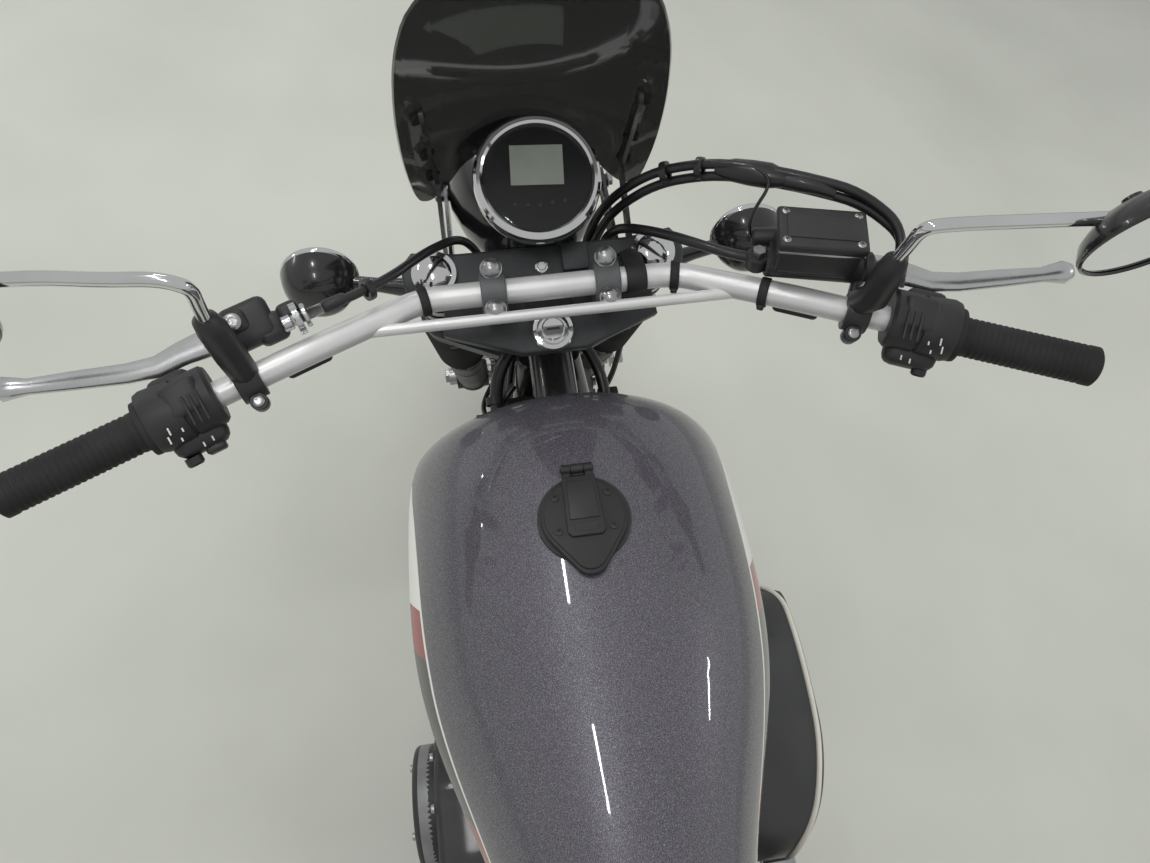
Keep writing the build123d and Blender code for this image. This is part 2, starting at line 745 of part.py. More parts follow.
rail_start = (back_x, waist_half + 10, back_z)
rail = tube([rail_start, (430, rail_half, rail_z), (rail_end, rail_half, rail_z)], rail_radius, 120)
shock_x, shock_z = shock_high
shock_ear = box_between((shock_x - 15, rail_half, shock_z - 15), (shock_x + 15, arm_inner, rail_z))
shock_pin = rod((shock_x, rail_half + 4, shock_z), (shock_x, shock_half + 22, shock_z), 7)
rail = rail + shock_ear + shock_pin
boss_end = rail_half + rack_boss_reach
rack_bosses = []
for x in rack_holes:
    boss = rod((x, rail_half, rail_z), (x, boss_end, rail_z), 9) - rail
    boss = boss - rod((x, boss_end - rack_hole_depth, rail_z), (x, boss_end + 1, rail_z), rack_hole_radius)
    rack_bosses += [boss, mirrored(boss)]
keep("rack_bosses", *rack_bosses)
tie_places = (shock_x, -60)
cross_tie = box_between((-15, -rail_half, rail_z - 8), (15, rail_half, rail_z + 2))
fender_post = box_between((-15, -40, 690), (15, 40, rail_z - 6))
cross_ties = [Pos(x, 0, 0) * (cross_tie + fender_post) for x in tie_places]
rear_fender = fender(rear_fender_radius, 84, 40, 38, 150, rear_axle)
fender_solid = across(Cylinder(rear_fender_radius, 300), rear_axle)
rails = rail + mirrored(rail) + cross_ties - spine - cradle_left - cradle_right
rails = rails - fender_solid
keep("seat_rails", rails)
keep("rear_fender", rear_fender)

# Swingarm, shocks, axle and rear brake

arm_out = arm_inner + arm_width
arm = link_plate([(pivot_x, pivot_z, arm_radius), (0, rear_axle.Z, arm_radius)], arm_inner, arm_out)
lug_x, lug_z = shock_low
shock_lug = box_between((lug_x - 14, arm_inner + 4, lug_z - 44), (lug_x + 14, arm_inner + 18, lug_z + 13))
shock_bolt = rod((lug_x, arm_inner + 10, lug_z), (lug_x, shock_half + 22, lug_z), 7)
arm = arm + shock_lug + shock_bolt
cross_piece = box_between((408, -arm_inner, 322), (446, arm_inner, 362))
swingarm = arm + mirrored(arm) + swingarm_tube + cross_piece
axle_rod = across(Cylinder(rear_axle_radius, 2 * (arm_out + 10)), rear_axle)
swingarm = swingarm - axle_rod
keep("swingarm", swingarm)
rear_collar = Rot(-90, 0, 0) * ring(16, rear_axle_radius - 1, rear_hub_half + running_gap, arm_inner)
rear_collar = Pos(*rear_axle) * rear_collar
nut = Rot(-90, 0, 0) * (Pos(0, 0, arm_out) * extrude(RegularPolygon(17, 6), 12))
nut = Pos(*rear_axle) * nut
keep("rear_axle", axle_rod + rear_collar + mirrored(rear_collar) + nut + mirrored(nut))

shock_start = Vector(lug_x, shock_half, lug_z)
shock_end = Vector(shock_x, shock_half, shock_z)
shock_length = (shock_end - shock_start).length
coil_low, coil_high, coil_count = 62.0, shock_length - 52.0, 11
coil_step = (coil_high - coil_low) / coil_count
shock_outline = [(0, 12), (18, 16), (24, 40), (24, coil_low - 4), (31, coil_low - 4), (31, coil_low)]
for i in range(coil_count):
    coil_at = coil_low + i * coil_step
    shock_outline += [(22, coil_at + 1), (29, coil_at + coil_step / 2)]
shock_outline += [(31, coil_high), (31, coil_high + 5), (20, coil_high + 5)]
shock_outline += [(16, shock_length - 12), (0, shock_length - 10)]
shock_line = Plane(origin=shock_start, z_dir=shock_end - shock_start).location
shock = shock_line * lathe(shock_outline)
for place in (shock_start, shock_end):
    eye = Pos(*place) * (Rot(90, 0, 0) * Cylinder(17, 28))
    shock = shock + eye
shock = shock - shock_pin - shock_bolt
keep("shocks", shock, mirrored(shock))

rear_caliper = Pos(98, 0, -94) * (Rot(0, 44, 0) * Box(90, 46, 66))
rear_caliper = fillet(rear_caliper.edges(), 5)
rear_caliper = Pos(0, -rear_disc_seat - disc_thickness / 2 - 4, 0) * rear_caliper
rear_lug = box_between((74, -arm_inner - 16, -72), (112, -92, -14))
rear_slot = Rot(90, 0, 0) * Cylinder(disc_radius + 6, 2 * slot_half)
rear_slot = Pos(0, -rear_disc_seat - disc_thickness / 2, 0) * rear_slot
keep("rear_caliper", Pos(*rear_axle) * (rear_caliper + rear_lug - rear_slot) - swingarm)

# Engine


def cylinder(turn):
    """A finned barrel and head with its rocker cover; turn leans it from upright, degrees."""
    core = upright(55, barrel_low, barrel_high) + Pos(0, 0, (barrel_high + head_high) / 2) * Box(
        124, 142, head_high - barrel_high
    )
    fin = Rectangle(2 * fin_reach, 2 * fin_half)
    fin = fillet(fin.vertices(), 22)
    first, last = 146.0, 306.0
    fins = [
        Pos(0, 0, first + i * (last - first) / (fin_count - 1)) * extrude(fin, fin_thickness)
        for i in range(fin_count)
    ]
    rocker = Pos(0, 0, (head_high + rocker_high) / 2) * Box(112, 132, rocker_high - head_high)
    rocker = fillet(rocker.edges().filter_by(Axis.Z) + rocker.faces().sort_by(Axis.Z)[-1].edges(), 9)
    return Pos(engine_x, 0, engine_z) * (Rot(0, turn, 0) * (core + fins + rocker))


header_path = [(1026, -18, 600), (1084, -32, 566), (1110, -78, 500), (1092, -138, 400), (1040, -166, 290)]
header_path += [(950, -168, 242), (560, -168, 242), (455, -198, 292)]
header = tube(header_path, 20, [28, 50, 60, 60, 70, 70])
rear_header_path = [(650, -58, 642), (650, -150, 640), (652, -196, 560), (652, -196, 340), (640, -169, 250)]
rear_header = tube(rear_header_path, 18, [48, 60, 60]) - header
keep("exhaust_pipes", header, rear_header)
silencer_line = Plane(origin=(462, -196, 289), z_dir=(-600, -62, 138)).location
silencer_outline = [(0, 0), (27, 0), (50, 70), (50, 540), (44, 590), (22, 596), (22, 560), (0, 560)]
silencer = silencer_line * lathe(silencer_outline)
hanger = rod((150, -arm_out + 4, 350), (150, -196, 362), 8)
keep("silencer", silencer + (hanger - swingarm) - header)

front_cylinder = cylinder(cylinder_angle) - case - header
rear_cylinder = cylinder(-cylinder_angle) - case - rear_header
keep("cylinders", front_cylinder, rear_cylinder)

left_cover = link_plate([(880, 375, 100), (708, 365, 78)], case_half + 7, 188)
left_cover = fillet(left_cover.faces().sort_by(Axis.Y)[-1].edges(), 8)
left_cap = Pos(880, 188, 375) * (Rot(-90, 0, 0) * Cylinder(74, left_cover_face - 188, align=low_end))
left_cap = fillet(left_cap.faces().sort_by(Axis.Y)[-1].edges(), 6)
right_cover = link_plate([(850, 370, 92), (715, 362, 80)], -146, -case_half)
right_cover = fillet(right_cover.faces().sort_by(Axis.Y)[0].edges(), 8)
right_cap = Pos(715, -146, 362) * (Rot(90, 0, 0) * Cylinder(60, right_cover_face - 146, align=low_end))
keep("engine_covers", left_cover + left_cap, right_cover + right_cap)

duct = rod((835, -122, 640), (835, 30, 640), 28) + box_between((740, -26, 624), (930, 26, 656))
duct = duct - front_cylinder - rear_cylinder
keep("intake", duct)
# Seen from above, the air cleaner is flat outboard, blunt at the front and rounded away at the rear
cleaner_in, cleaner_out = -122.0, -228.0
with BuildLine() as cleaner_plan:
    Polyline((874, cleaner_out), (1003, cleaner_out), (1022, cleaner_out + 26), (1022, cleaner_in))
    Line((1022, cleaner_in), (735, cleaner_in))
    Line((735, cleaner_in), (735, -150))
    ThreePointArc((735, -150), (792, -211), (874, cleaner_out))
cleaner_prism = Pos(0, 0, 450) * extrude(make_face(cleaner_plan.line), 250)
air_cleaner = link_plate([(930, 580, 84), (818, 566, 73)], cleaner_out, cleaner_in) & cleaner_prism
keep("air_cleaner", air_cleaner)

drive_x, drive_z = drive_pulley_place
drive_pulley = Pos(drive_x, 0, drive_z) * (
    Rot(-90, 0, 0)
    * lathe(
        [
            (0, 70),
            (12, 70),
            (12, pulley_seat),
            (drive_pulley_radius + 6, pulley_seat),
            (drive_pulley_radius + 6, pulley_seat + 2),
            (drive_pulley_radius, pulley_seat + 2),
            (drive_pulley_radius, pulley_out - 2),
            (drive_pulley_radius + 6, pulley_out - 2),
            (drive_pulley_radius + 6, pulley_out),
            (0, pulley_out),
        ]
    )
)
keep("engine_case", case + drive_pulley)
belt_rims = [(0, rear_axle.Z, pulley_radius + running_gap), (drive_x, drive_z, drive_pulley_radius)]
belt_low, belt_high = belt_mid - belt_width / 2, belt_mid + belt_width / 2
belt = link_plate([(x, z, r + belt_thickness) for x, z, r in belt_rims], belt_low, belt_high)
belt = belt - link_plate(belt_rims, belt_low - 1, belt_high + 1)
keep("drive_belt", belt)

# Tank, cap, seat and side pieces

tank_sections = [
    # x, top, half width, height of the widest line, underside, how far the foot tucks in
    (tank_front, tank_top - 46, 112, 822, 770, 24),
    (1112, tank_top - 14, 147, 812, 735, 22),
    (1040, tank_top, 156, 808, tank_underside, 20),
    (950, tank_top, 156, 806, tank_underside, 20),
    (830, tank_top - 14, 131, 800, tank_underside, 22),
    (735, tank_top - 34, 98, 792, tank_underside, 22),
    (tank_rear, tank_top - 62, 72, 785, tank_underside + 14, 20),
]
tank_faces = []
for x, top, half, wide_z, low, tuck in tank_sections:
    with BuildSketch(Plane(origin=(x, 0, 0), x_dir=(0, 1, 0), z_dir=(1, 0, 0))) as section:
        with BuildLine():
            ThreePointArc((-half, wide_z), (0, top), (half, wide_z))
            Polyline((half, wide_z), (half - tuck, low), (tuck - half, low), (-half, wide_z))
        make_face()
    tank_faces.append(section.sketch)
tank = loft(tank_faces)
tunnel = box_between((500, -27, 650), (1160, 27, 772))
head_room = box_between((640, -90, 650), (1060, 90, 727))
tank = tank - tunnel - head_room - spine - front_cylinder - rear_cylinder
keep("fuel_tank", tank)

cap_ring = Pos(cap_x, 0, 0) * ring(cap_radius + 3, 26, tank_top - 34, tank_top + 2) - tank
hinge_x = cap_x + cap_radius + 8
hinge_z = tank_top + 6
hinge_pin_radius = 2.0
eye_radius = 4.5
eye_inner, eye_outer = 5.4, 13.0
cap_post = box_between((hinge_x - 6, -5, tank_top - 18), (hinge_x + 4, 5, hinge_z)) - tank - cap_ring
cap_knuckle = rod((hinge_x, -5, hinge_z), (hinge_x, 5, hinge_z), eye_radius)
cap_pin = rod((hinge_x, -eye_outer - 1, hinge_z), (hinge_x, eye_outer + 1, hinge_z), hinge_pin_radius)
keep("cap_ring", cap_ring + cap_post + cap_knuckle + cap_pin)
lid_low = tank_top + 2.4
lid_thickness = 6.0
lid_circles = [Pos(cap_x, 0) * Circle(cap_radius), Pos(cap_x - cap_tail, 0) * Circle(cap_tail_radius)]
lid_rims = [circle.edges()[0] for circle in lid_circles]
lid = Pos(0, 0, lid_low) * extrude(make_hull(lid_rims), lid_thickness)
lid_arm = box_between((cap_x + 20, eye_inner, lid_low), (hinge_x, eye_outer, lid_low + lid_thickness))
lid_arm = lid_arm + rod((hinge_x, eye_inner, hinge_z), (hinge_x, eye_outer, hinge_z), eye_radius)
lid_gap = rod((hinge_x, -eye_inner, hinge_z), (hinge_x, eye_inner, hinge_z), eye_radius + 1.5)
lid_bore = rod((hinge_x, -20, hinge_z), (hinge_x, 20, hinge_z), hinge_pin_radius + running_gap)
keep("cap_lid", lid + lid_arm + mirrored(lid_arm) - lid_gap - lid_bore)

seat_half = [(tank_rear - 0.5, 62), (560, 72), (450, 98), (330, 120), (-50, 122), (seat_rear, 84)]
seat_face = make_face(Polyline(*seat_half, *[(x, -y) for x, y in reversed(seat_half)], close=True))
seat_face = fillet(seat_face.vertices().sort_by(Axis.X)[:2], 40)
seat = Pos(0, 0, rail_top) * extrude(seat_face, seat_top - rail_top)
seat = fillet(seat.faces().sort_by(Axis.Z)[-1].edges(), 14) - spine - rails
keep("seat", seat)

box_half = 68.0
battery_box = box_between((395, -box_half, 470), (572, box_half, 738))
keep("battery_box", battery_box - cradle_left - cradle_right - rails - spine)
plate_place = (462.0, 610.0)
oval = Pos(plate_place[0], 0, plate_place[1]) * (Rot(-90, 0, 0) * extrude(Ellipse(122, 92), 4))
side_plate = Pos(0, 116, 0) * oval
plate_peg = across(Cylinder(7, 117 - box_half, align=low_end), (plate_place[0], box_half, plate_place[1]))
side_plate = side_plate + Pos(-45, 0, 0) * plate_peg + Pos(45, 0, 0) * plate_peg
keep("side_plates", side_plate, mirrored(side_plate))

horn = rod((1182, 46, 735), (1182, 84, 735), 34) + rod((1182, 84, 735), (1182, 96, 735), 24)
horn = horn + box_between((1176, -4, 736), (1188, 50, 812)) - spine - cradle_left
keep("horn", horn)

# Rear lights and plate bracket


def on_rear_fender(angle, out):
    """A place on the rear fender's crown, at an angle from straight ahead, and a distance outward."""
    turn = math.radians(angle)
    reach = rear_fender_radius + out
    return Vector(reach * math.cos(turn), 0, rear_axle.Z + reach * math.sin(turn))


def rear_fender_place(angle, out):
    here = on_rear_fender(angle, out)
    return Plane(origin=here, x_dir=(0, 1, 0), z_dir=here - rear_axle).location


tail = rear_fender_place(122, -12) * Box(84, 60, 62, align=low_end)
tail = fillet(tail.edges(), 10) - fender_solid
keep("tail_light", tail)
tail_middle = on_rear_fender(122, 28)
rear_lamp_place = (tail_middle.X, 142, tail_middle.Z)
rear_lamp = Plane(origin=rear_lamp_place, x_dir=(0, 1, 0), z_dir=(-1, 0, 0)).location * signal_body
rear_stalk = rod((tail_middle.X, 38, tail_middle.Z), (tail_middle.X, 125, tail_middle.Z), 7)
rear_stalk = rear_stalk - tail - rear_lamp
keep("rear_signals", rear_lamp, rear_stalk, mirrored(rear_lamp), mirrored(rear_stalk))
bracket = rear_fender_place(146, 8) * Box(150, 100, 3, align=low_end)
bracket = bracket + rear_fender_place(143, -14) * Box(60, 24, 24, align=low_end) - fender_solid
plate_holes = [rear_fender_place(146, 0) * (Pos(y, 0, 0) * Cylinder(3.3, 60)) for y in (-50, 50)]
keep("plate_bracket", bracket - plate_holes)

# Pegs, pedals and side stand

peg_left = peg_bar + rod((580, 150, 278), (580, 262, 278), 15)
peg_right = mirrored(peg_left)
keep("foot_pegs", peg_left - cradle_left, peg_right - cradle_right)
shift = rod((600, 240, 278), (742, 240, 300), 6) + rod((742, 234, 300), (742, 276, 300), 9)
shift = shift + rod((580, 240, 278), (602, 240, 278), 11) - peg_left
brake_pedal = rod((600, -214, 278), (752, -214, 296), 7) + box_between((738, -252, 292), (786, -208, 304))
brake_pedal = brake_pedal + rod((580, -214, 278), (602, -214, 278), 11) - peg_right
keep("foot_levers", shift, brake_pedal)

foot_z = stand_foot[1] * math.tan(math.radians(lean))
ground_up = Vector(0, -math.sin(math.radians(lean)), math.cos(math.radians(lean)))
stand_top = Vector(*stand_pivot)
stand_sole = Vector(stand_foot[0], stand_foot[1], foot_z)
leg_end = stand_sole + ground_up * 5
leg_way = (leg_end - stand_top).normalized()
stowed_way = Vector(-0.985, 0.17, 0.02).normalized()
stand_axis = leg_way.cross(stowed_way).normalized()
stand_fold = leg_way.get_angle(stowed_way)
stand_hinge = Plane(origin=stand_top, x_dir=leg_way, z_dir=stand_axis).location
stand_pad = Plane(origin=stand_sole, z_dir=ground_up).location * Cylinder(27, 7, align=low_end)
stand = rod(stand_top + leg_way * 12, leg_end, stand_radius) + stand_hinge * Cylinder(15, 16) + stand_pad
stand = stand - stand_hinge * Cylinder(6 + running_gap, 30)
stand = stand - [stand_hinge * ring(19, 0, low, low + 12) for low in (8, -20)]
keep("side_stand", stand)
cheek = Pos(-20, 0, 0) * Box(48, 24, 5)
cheeks = [stand_hinge * (Pos(0, 0, z) * (cheek + Cylinder(15, 5))) for z in (-10.8, 10.8)]
stand_block = box_between((724, cradle_half, 172), (758, 104, 230))
stand_bracket = stand_block + cheeks + stand_hinge * Cylinder(6, 27) - case
keep("frame_cradles", cradle_left + stand_bracket, cradle_right)

# The bike is leaned over on its tyres, and its origin moved to the middle of its footprint


def leaned(shape):
    return shape.rotate(Axis.X, -lean)


standing = {name: leaned(shape) for name, shape in nodes.items()}
boxes = [shape.bounding_box() for shape in standing.values()]
lowest = [min(value) for value in zip(*[tuple(b.min) for b in boxes])]
highest = [max(value) for value in zip(*[tuple(b.max) for b in boxes])]
to_origin = Pos(-(lowest[0] + highest[0]) / 2, -(lowest[1] + highest[1]) / 2, -lowest[2])

if __name__ == "__main__":
    os.makedirs("parts", exist_ok=True)
    for name, shape in standing.items():
        export_step(to_origin * shape, f"parts/{name}.step")
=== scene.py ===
"""A scrambler motorcycle parked on its side stand, dressed piece by piece over its CAD model.

Pieces are drawn upright in millimetres, X forward, Y to the rider's left and Z up, with X = 0 at the rear
axle, or in the steering frame, (ahead, left, up) about the steering axis. BIKE and STEER carry those numbers to
the parked machine's place in metres."""

import json
import math

import bmesh
import bpy
from mathutils import Matrix, Vector


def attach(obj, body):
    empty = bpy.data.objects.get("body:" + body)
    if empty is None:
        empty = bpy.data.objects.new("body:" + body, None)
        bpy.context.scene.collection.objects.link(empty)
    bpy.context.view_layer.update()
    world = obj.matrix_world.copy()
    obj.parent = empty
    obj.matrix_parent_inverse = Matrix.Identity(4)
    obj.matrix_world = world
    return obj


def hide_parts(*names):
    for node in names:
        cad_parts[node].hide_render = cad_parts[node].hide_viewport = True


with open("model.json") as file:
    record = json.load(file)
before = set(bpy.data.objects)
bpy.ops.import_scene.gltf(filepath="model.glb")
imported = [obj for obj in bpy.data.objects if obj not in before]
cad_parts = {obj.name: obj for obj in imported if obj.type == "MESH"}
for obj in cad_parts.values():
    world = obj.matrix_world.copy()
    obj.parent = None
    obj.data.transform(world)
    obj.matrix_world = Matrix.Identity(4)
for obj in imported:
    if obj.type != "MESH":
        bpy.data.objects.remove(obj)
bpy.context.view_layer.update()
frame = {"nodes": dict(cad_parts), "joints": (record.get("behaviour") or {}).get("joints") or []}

# Places
LEAN = math.radians(10.0)
RAKE = math.radians(28.4)
REAR_AXLE = Vector((0.0, 0.0, 329.123))
FRONT_AXLE = Vector((1575.0, 0.0, 331.802))
FORK_OFFSET = 43.0
FORK_HALF = 102.0
CRANK = Vector((835.0, 0.0, 375.0))
CYLINDER_LEAN = 30.0
joint_places = {joint["name"]: Vector(joint["pos_m"]) for joint in frame["joints"]}
tilt = Matrix.Rotation(-LEAN, 4, "X") @ Matrix.Scale(0.001, 4)
BIKE = Matrix.Translation(joint_places["rear_wheel_turn"] - tilt @ REAR_AXLE) @ tilt
ahead = Vector((math.cos(RAKE), 0.0, math.sin(RAKE)))
STEER = BIKE @ Matrix.Translation(FRONT_AXLE - ahead * FORK_OFFSET) @ Matrix.Rotation(-RAKE, 4, "Y")
ON_BIKE = BIKE.inverted() @ STEER
LEFTWARD = Matrix.Rotation(math.radians(-90.0), 4, "X")
RIGHTWARD = Matrix.Rotation(math.radians(90.0), 4, "X")
ACROSS = Matrix.Scale(-1, 4, (0, 1, 0))


# Finishes


class Finish:
    """Nodes of one material, with its coordinates laid along the upright bike, in millimetres."""

    def __init__(self, name, roughness, metallic=0.0, coat=0.0):
        self.material = bpy.data.materials.new(name)
        self.material.use_nodes = True
        self.tree = self.material.node_tree
        self.shader = self.tree.nodes["Principled BSDF"]
        self.shader.inputs["Roughness"].default_value = roughness
        self.shader.inputs["Metallic"].default_value = metallic
        self.shader.inputs["Coat Weight"].default_value = coat
        self.shader.inputs["Coat Roughness"].default_value = 0.04
        self.roughness = roughness
        coordinates = self.add("ShaderNodeTexCoord")
        mapping = self.add("ShaderNodeMapping")
        place, turn, size = BIKE.inverted().decompose()
        mapping.inputs["Location"].default_value = place
        mapping.inputs["Rotation"].default_value = turn.to_euler()
        mapping.inputs["Scale"].default_value = size
        self.link(coordinates.outputs["Object"], mapping.inputs["Vector"])
        self.place = mapping.outputs["Vector"]
        self.height = None

    def add(self, kind, **settings):
        """A new node of a kind, set as told."""
        node = self.tree.nodes.new(kind)
        for key, value in settings.items():
            setattr(node, key, value)
        return node

    def link(self, start, end):
        """Wires one socket to another."""
        self.tree.links.new(start, end)

    def math(self, operation, first, second=0.0, third=0.0):
        """One sum on numbers or sockets."""
        node = self.add("ShaderNodeMath", operation=operation)
        for socket, value in zip(node.inputs, (first, second, third)):
            if isinstance(value, (int, float)):
                socket.default_value = value
            else:
                self.link(value, socket)
        return node.outputs[0]

    def places(self):
        """The surface's own X, Y and Z on the upright bike."""
        parts = self.add("ShaderNodeSeparateXYZ")
        self.link(self.place, parts.inputs[0])
        return parts.outputs

    def reach(self, centre):
        """Distance from an axle, seen from the side."""
        x, _, z = self.places()
        away = [self.math("SUBTRACT", x, centre.x), self.math("SUBTRACT", z, centre.z)]
        squares = [self.math("MULTIPLY", part, part) for part in away]
        return self.math("SQRT", self.math("ADD", *squares))

    def share(self, value, low, span):
        """A value as a share of a span that starts at low."""
        return self.math("DIVIDE", self.math("SUBTRACT", value, low), span)

    def noise(self, size, detail=3.0, stretch=(1, 1, 1)):
        """Cloudy noise whose lumps are about a size across, in millimetres."""
        node = self.add("ShaderNodeTexNoise")
        node.inputs["Scale"].default_value = 1.0 / size
        node.inputs["Detail"].default_value = detail
        if stretch == (1, 1, 1):
            self.link(self.place, node.inputs["Vector"])
        else:
            squeeze = self.add("ShaderNodeVectorMath", operation="MULTIPLY")
            squeeze.inputs[1].default_value = [1.0 / s for s in stretch]
            self.link(self.place, squeeze.inputs[0])
            self.link(squeeze.outputs[0], node.inputs["Vector"])
        return node.outputs["Fac"]

    def ramp(self, value, stops):
        """Colours blended along a value, from (position, colour) stops."""
        node = self.add("ShaderNodeValToRGB")
        while len(node.color_ramp.elements) < len(stops):
            node.color_ramp.elements.new(0.5)
        for element, (position, colour) in zip(node.color_ramp.elements, stops):
            element.position = position
            element.color = (*colour, 1.0)
        self.link(value, node.inputs["Fac"])
        return node.outputs["Color"]

    def paint(self, shade, metallic=None):
        """Takes its colour, and where given its metal, from sockets."""
        self.link(shade, self.shader.inputs["Base Color"])
        if metallic is not None:
            self.link(metallic, self.shader.inputs["Metallic"])
        return self

    def cloud(self, dark, light, size=60.0, detail=4.0):
        """Two close shades clouded over the surface."""
        return self.ramp(self.noise(size, detail), [(0.3, dark), (0.7, light)])

    def mix(self, mask, low, high):
        """One colour or the other by a mask from 0 to 1."""
        node = self.add("ShaderNodeMix", data_type="RGBA")
        self.link(mask, node.inputs["Factor"])
        for socket, value in zip((node.inputs[6], node.inputs[7]), (low, high)):
            if isinstance(value, tuple):
                socket.default_value = (*value, 1.0)
            else:
                self.link(value, socket)
        return node.outputs[2]

    def smudge(self, spread, size=45.0):
        """Roughness that drifts by a spread either way, as handling and dust leave it."""
        node = self.add("ShaderNodeMapRange")
        node.inputs["From Min"].default_value = 0.3
        node.inputs["From Max"].default_value = 0.7
        node.inputs["To Min"].default_value = max(self.roughness - spread, 0.02)
        node.inputs["To Max"].default_value = self.roughness + spread
        self.link(self.noise(size, 5.0), node.inputs["Value"])
        self.link(node.outputs["Result"], self.shader.inputs["Roughness"])
        return self

    def bump(self, height, depth, strength=1.0):
        """Raises the surface by a height pattern, its depth in millimetres."""
        node = self.add("ShaderNodeBump")
        node.inputs["Strength"].default_value = strength
        node.inputs["Distance"].default_value = depth / 1000.0
        self.link(height, node.inputs["Height"])
        if self.height is not None:
            self.link(self.height, node.inputs["Normal"])
        self.height = node.outputs["Normal"]
        self.link(self.height, self.shader.inputs["Normal"])
        return self


def metal(name, dark, light, roughness, spread=0.05, size=40.0, grain=0.6, depth=0.02):
    """Bare or plated metal with its brushed or polished grain."""
    finish = Finish(name, roughness, 1.0).smudge(spread)
    finish.paint(finish.cloud(dark, light, size))
    return finish.bump(finish.noise(grain, 2.0), depth).material


def coated(
    name, dark, light, roughness, coat=0.0, spread=0.05, grain=1.2, depth=0.02, size=60.0, metallic=0.0
):
    """Paint, plastic or rubber: two shades, smudges and a fine grain."""
    finish = Finish(name, roughness, metallic, coat).smudge(spread)
    finish.paint(finish.cloud(dark, light, size))
    return finish.bump(finish.noise(grain), depth).material


def glass(name, colour, roughness, alpha):
    """Clear or tinted glass, seen through by its alpha."""
    finish = Finish(name, roughness, 0.0, 1.0)
    finish.shader.inputs["Base Color"].default_value = (*colour, 1.0)
    finish.shader.inputs["Alpha"].default_value = alpha
    finish.shader.inputs["IOR"].default_value = 1.49
    return finish.smudge(0.02, 80.0).material


gloss_black = coated("gloss_black", (0.012, 0.012, 0.013), (0.02, 0.02, 0.021), 0.22, 0.6, 0.04, 4.0, 0.01)
satin_black = coated("satin_black", (0.018, 0.018, 0.019), (0.03, 0.03, 0.031), 0.42, 0.0, 0.06, 1.0, 0.03)
chrome = metal("chrome", (0.78, 0.78, 0.79), (0.86, 0.86, 0.87), 0.09, 0.03, 50.0, 3.0, 0.003)
steel = metal("plain_steel", (0.42, 0.42, 0.43), (0.55, 0.55, 0.56), 0.32, 0.07, 30.0, 0.5, 0.02)
bright_alloy = metal("bright_alloy", (0.66, 0.66, 0.67), (0.74, 0.74, 0.75), 0.27, 0.05, 30.0, 0.4, 0.01)
bar_silver = coated(
    "bar_silver", (0.76, 0.76, 0.76), (0.84, 0.84, 0.83), 0.38, 0.0, 0.05, 0.5, 0.02, 35.0, 0.5
)
cast_alloy = metal("cast_alloy", (0.3, 0.3, 0.31), (0.4, 0.4, 0.41), 0.48, 0.08, 25.0, 0.8, 0.08)
clamp_grey = coated(
    "clamp_grey", (0.042, 0.044, 0.046), (0.06, 0.062, 0.065), 0.5, 0.0, 0.06, 0.7, 0.1, 30.0, 0.3
)
block_grey = coated(
    "block_grey", (0.11, 0.112, 0.115), (0.15, 0.152, 0.157), 0.45, 0.0, 0.08, 0.7, 0.1, 25.0, 0.5
)
rubber = coated("soft_rubber", (0.012, 0.012, 0.012), (0.022, 0.022, 0.022), 0.62, 0.0, 0.08, 0.8, 0.06)
moulded = coated("moulded_black", (0.02, 0.02, 0.021), (0.032, 0.032, 0.033), 0.48, 0.0, 0.06, 0.5, 0.06)
cable_sleeve = coated("cable_sleeve", (0.01, 0.01, 0.011), (0.02, 0.02, 0.021), 0.34, 0.2, 0.06, 2.0, 0.02)
engine_black = coated(
    "engine_black", (0.02, 0.02, 0.021), (0.034, 0.034, 0.035), 0.46, 0.1, 0.05, 0.9, 0.09, 40.0
)
air_cover_grey = coated(
    "air_cover_grey", (0.035, 0.036, 0.037), (0.05, 0.051, 0.053), 0.4, 0.15, 0.05, 0.8, 0.05
)
trim_cream = coated("trim_cream", (0.62, 0.6, 0.53), (0.7, 0.68, 0.61), 0.4, 0.2, 0.05, 3.0, 0.02)
frame_black = coated("frame_black", (0.012, 0.012, 0.013), (0.022, 0.022, 0.023), 0.26, 0.5, 0.05, 5.0, 0.015)
lamp_glass = glass("lamp_glass", (0.9, 0.92, 0.94), 0.06, 0.22)
# Near black, nearly opaque screen glass: partly the screen's own smoked tint, partly painted shade standing in
# for the shadowed floor seen through it.
screen_smoke = glass("screen_smoke", (0.006, 0.006, 0.007), 0.05, 0.84)
amber_glass = glass("amber_glass", (0.8, 0.25, 0.03), 0.12, 0.85)
red_glass = glass("red_glass", (0.5, 0.01, 0.01), 0.12, 0.9)
mark_white = coated("mark_white", (0.55, 0.55, 0.53), (0.65, 0.65, 0.62), 0.6)
switch_red = coated("switch_red", (0.32, 0.015, 0.012), (0.4, 0.02, 0.015), 0.4, 0.2)
mirror_silver = metal("mirror_silver", (0.86, 0.87, 0.88), (0.9, 0.9, 0.91), 0.04, 0.01, 60.0, 8.0, 0.001)
reflector = metal("reflector", (0.85, 0.85, 0.85), (0.92, 0.92, 0.92), 0.07, 0.02, 40.0, 12.0, 0.05)
gauge_face = coated("gauge_face", (0.003, 0.003, 0.0035), (0.006, 0.006, 0.007), 0.3, 0.0, 0.05, 3.0, 0.002)
gauge_lamp = coated("gauge_lamp", (0.03, 0.012, 0.01), (0.05, 0.02, 0.015), 0.25, 0.4)
display = coated("display", (0.27, 0.3, 0.25), (0.31, 0.34, 0.29), 0.45, 0.1, 0.04, 1.0, 0.002, 20.0)
window_glass = glass("window_glass", (0.02, 0.02, 0.02), 0.04, 0.1)


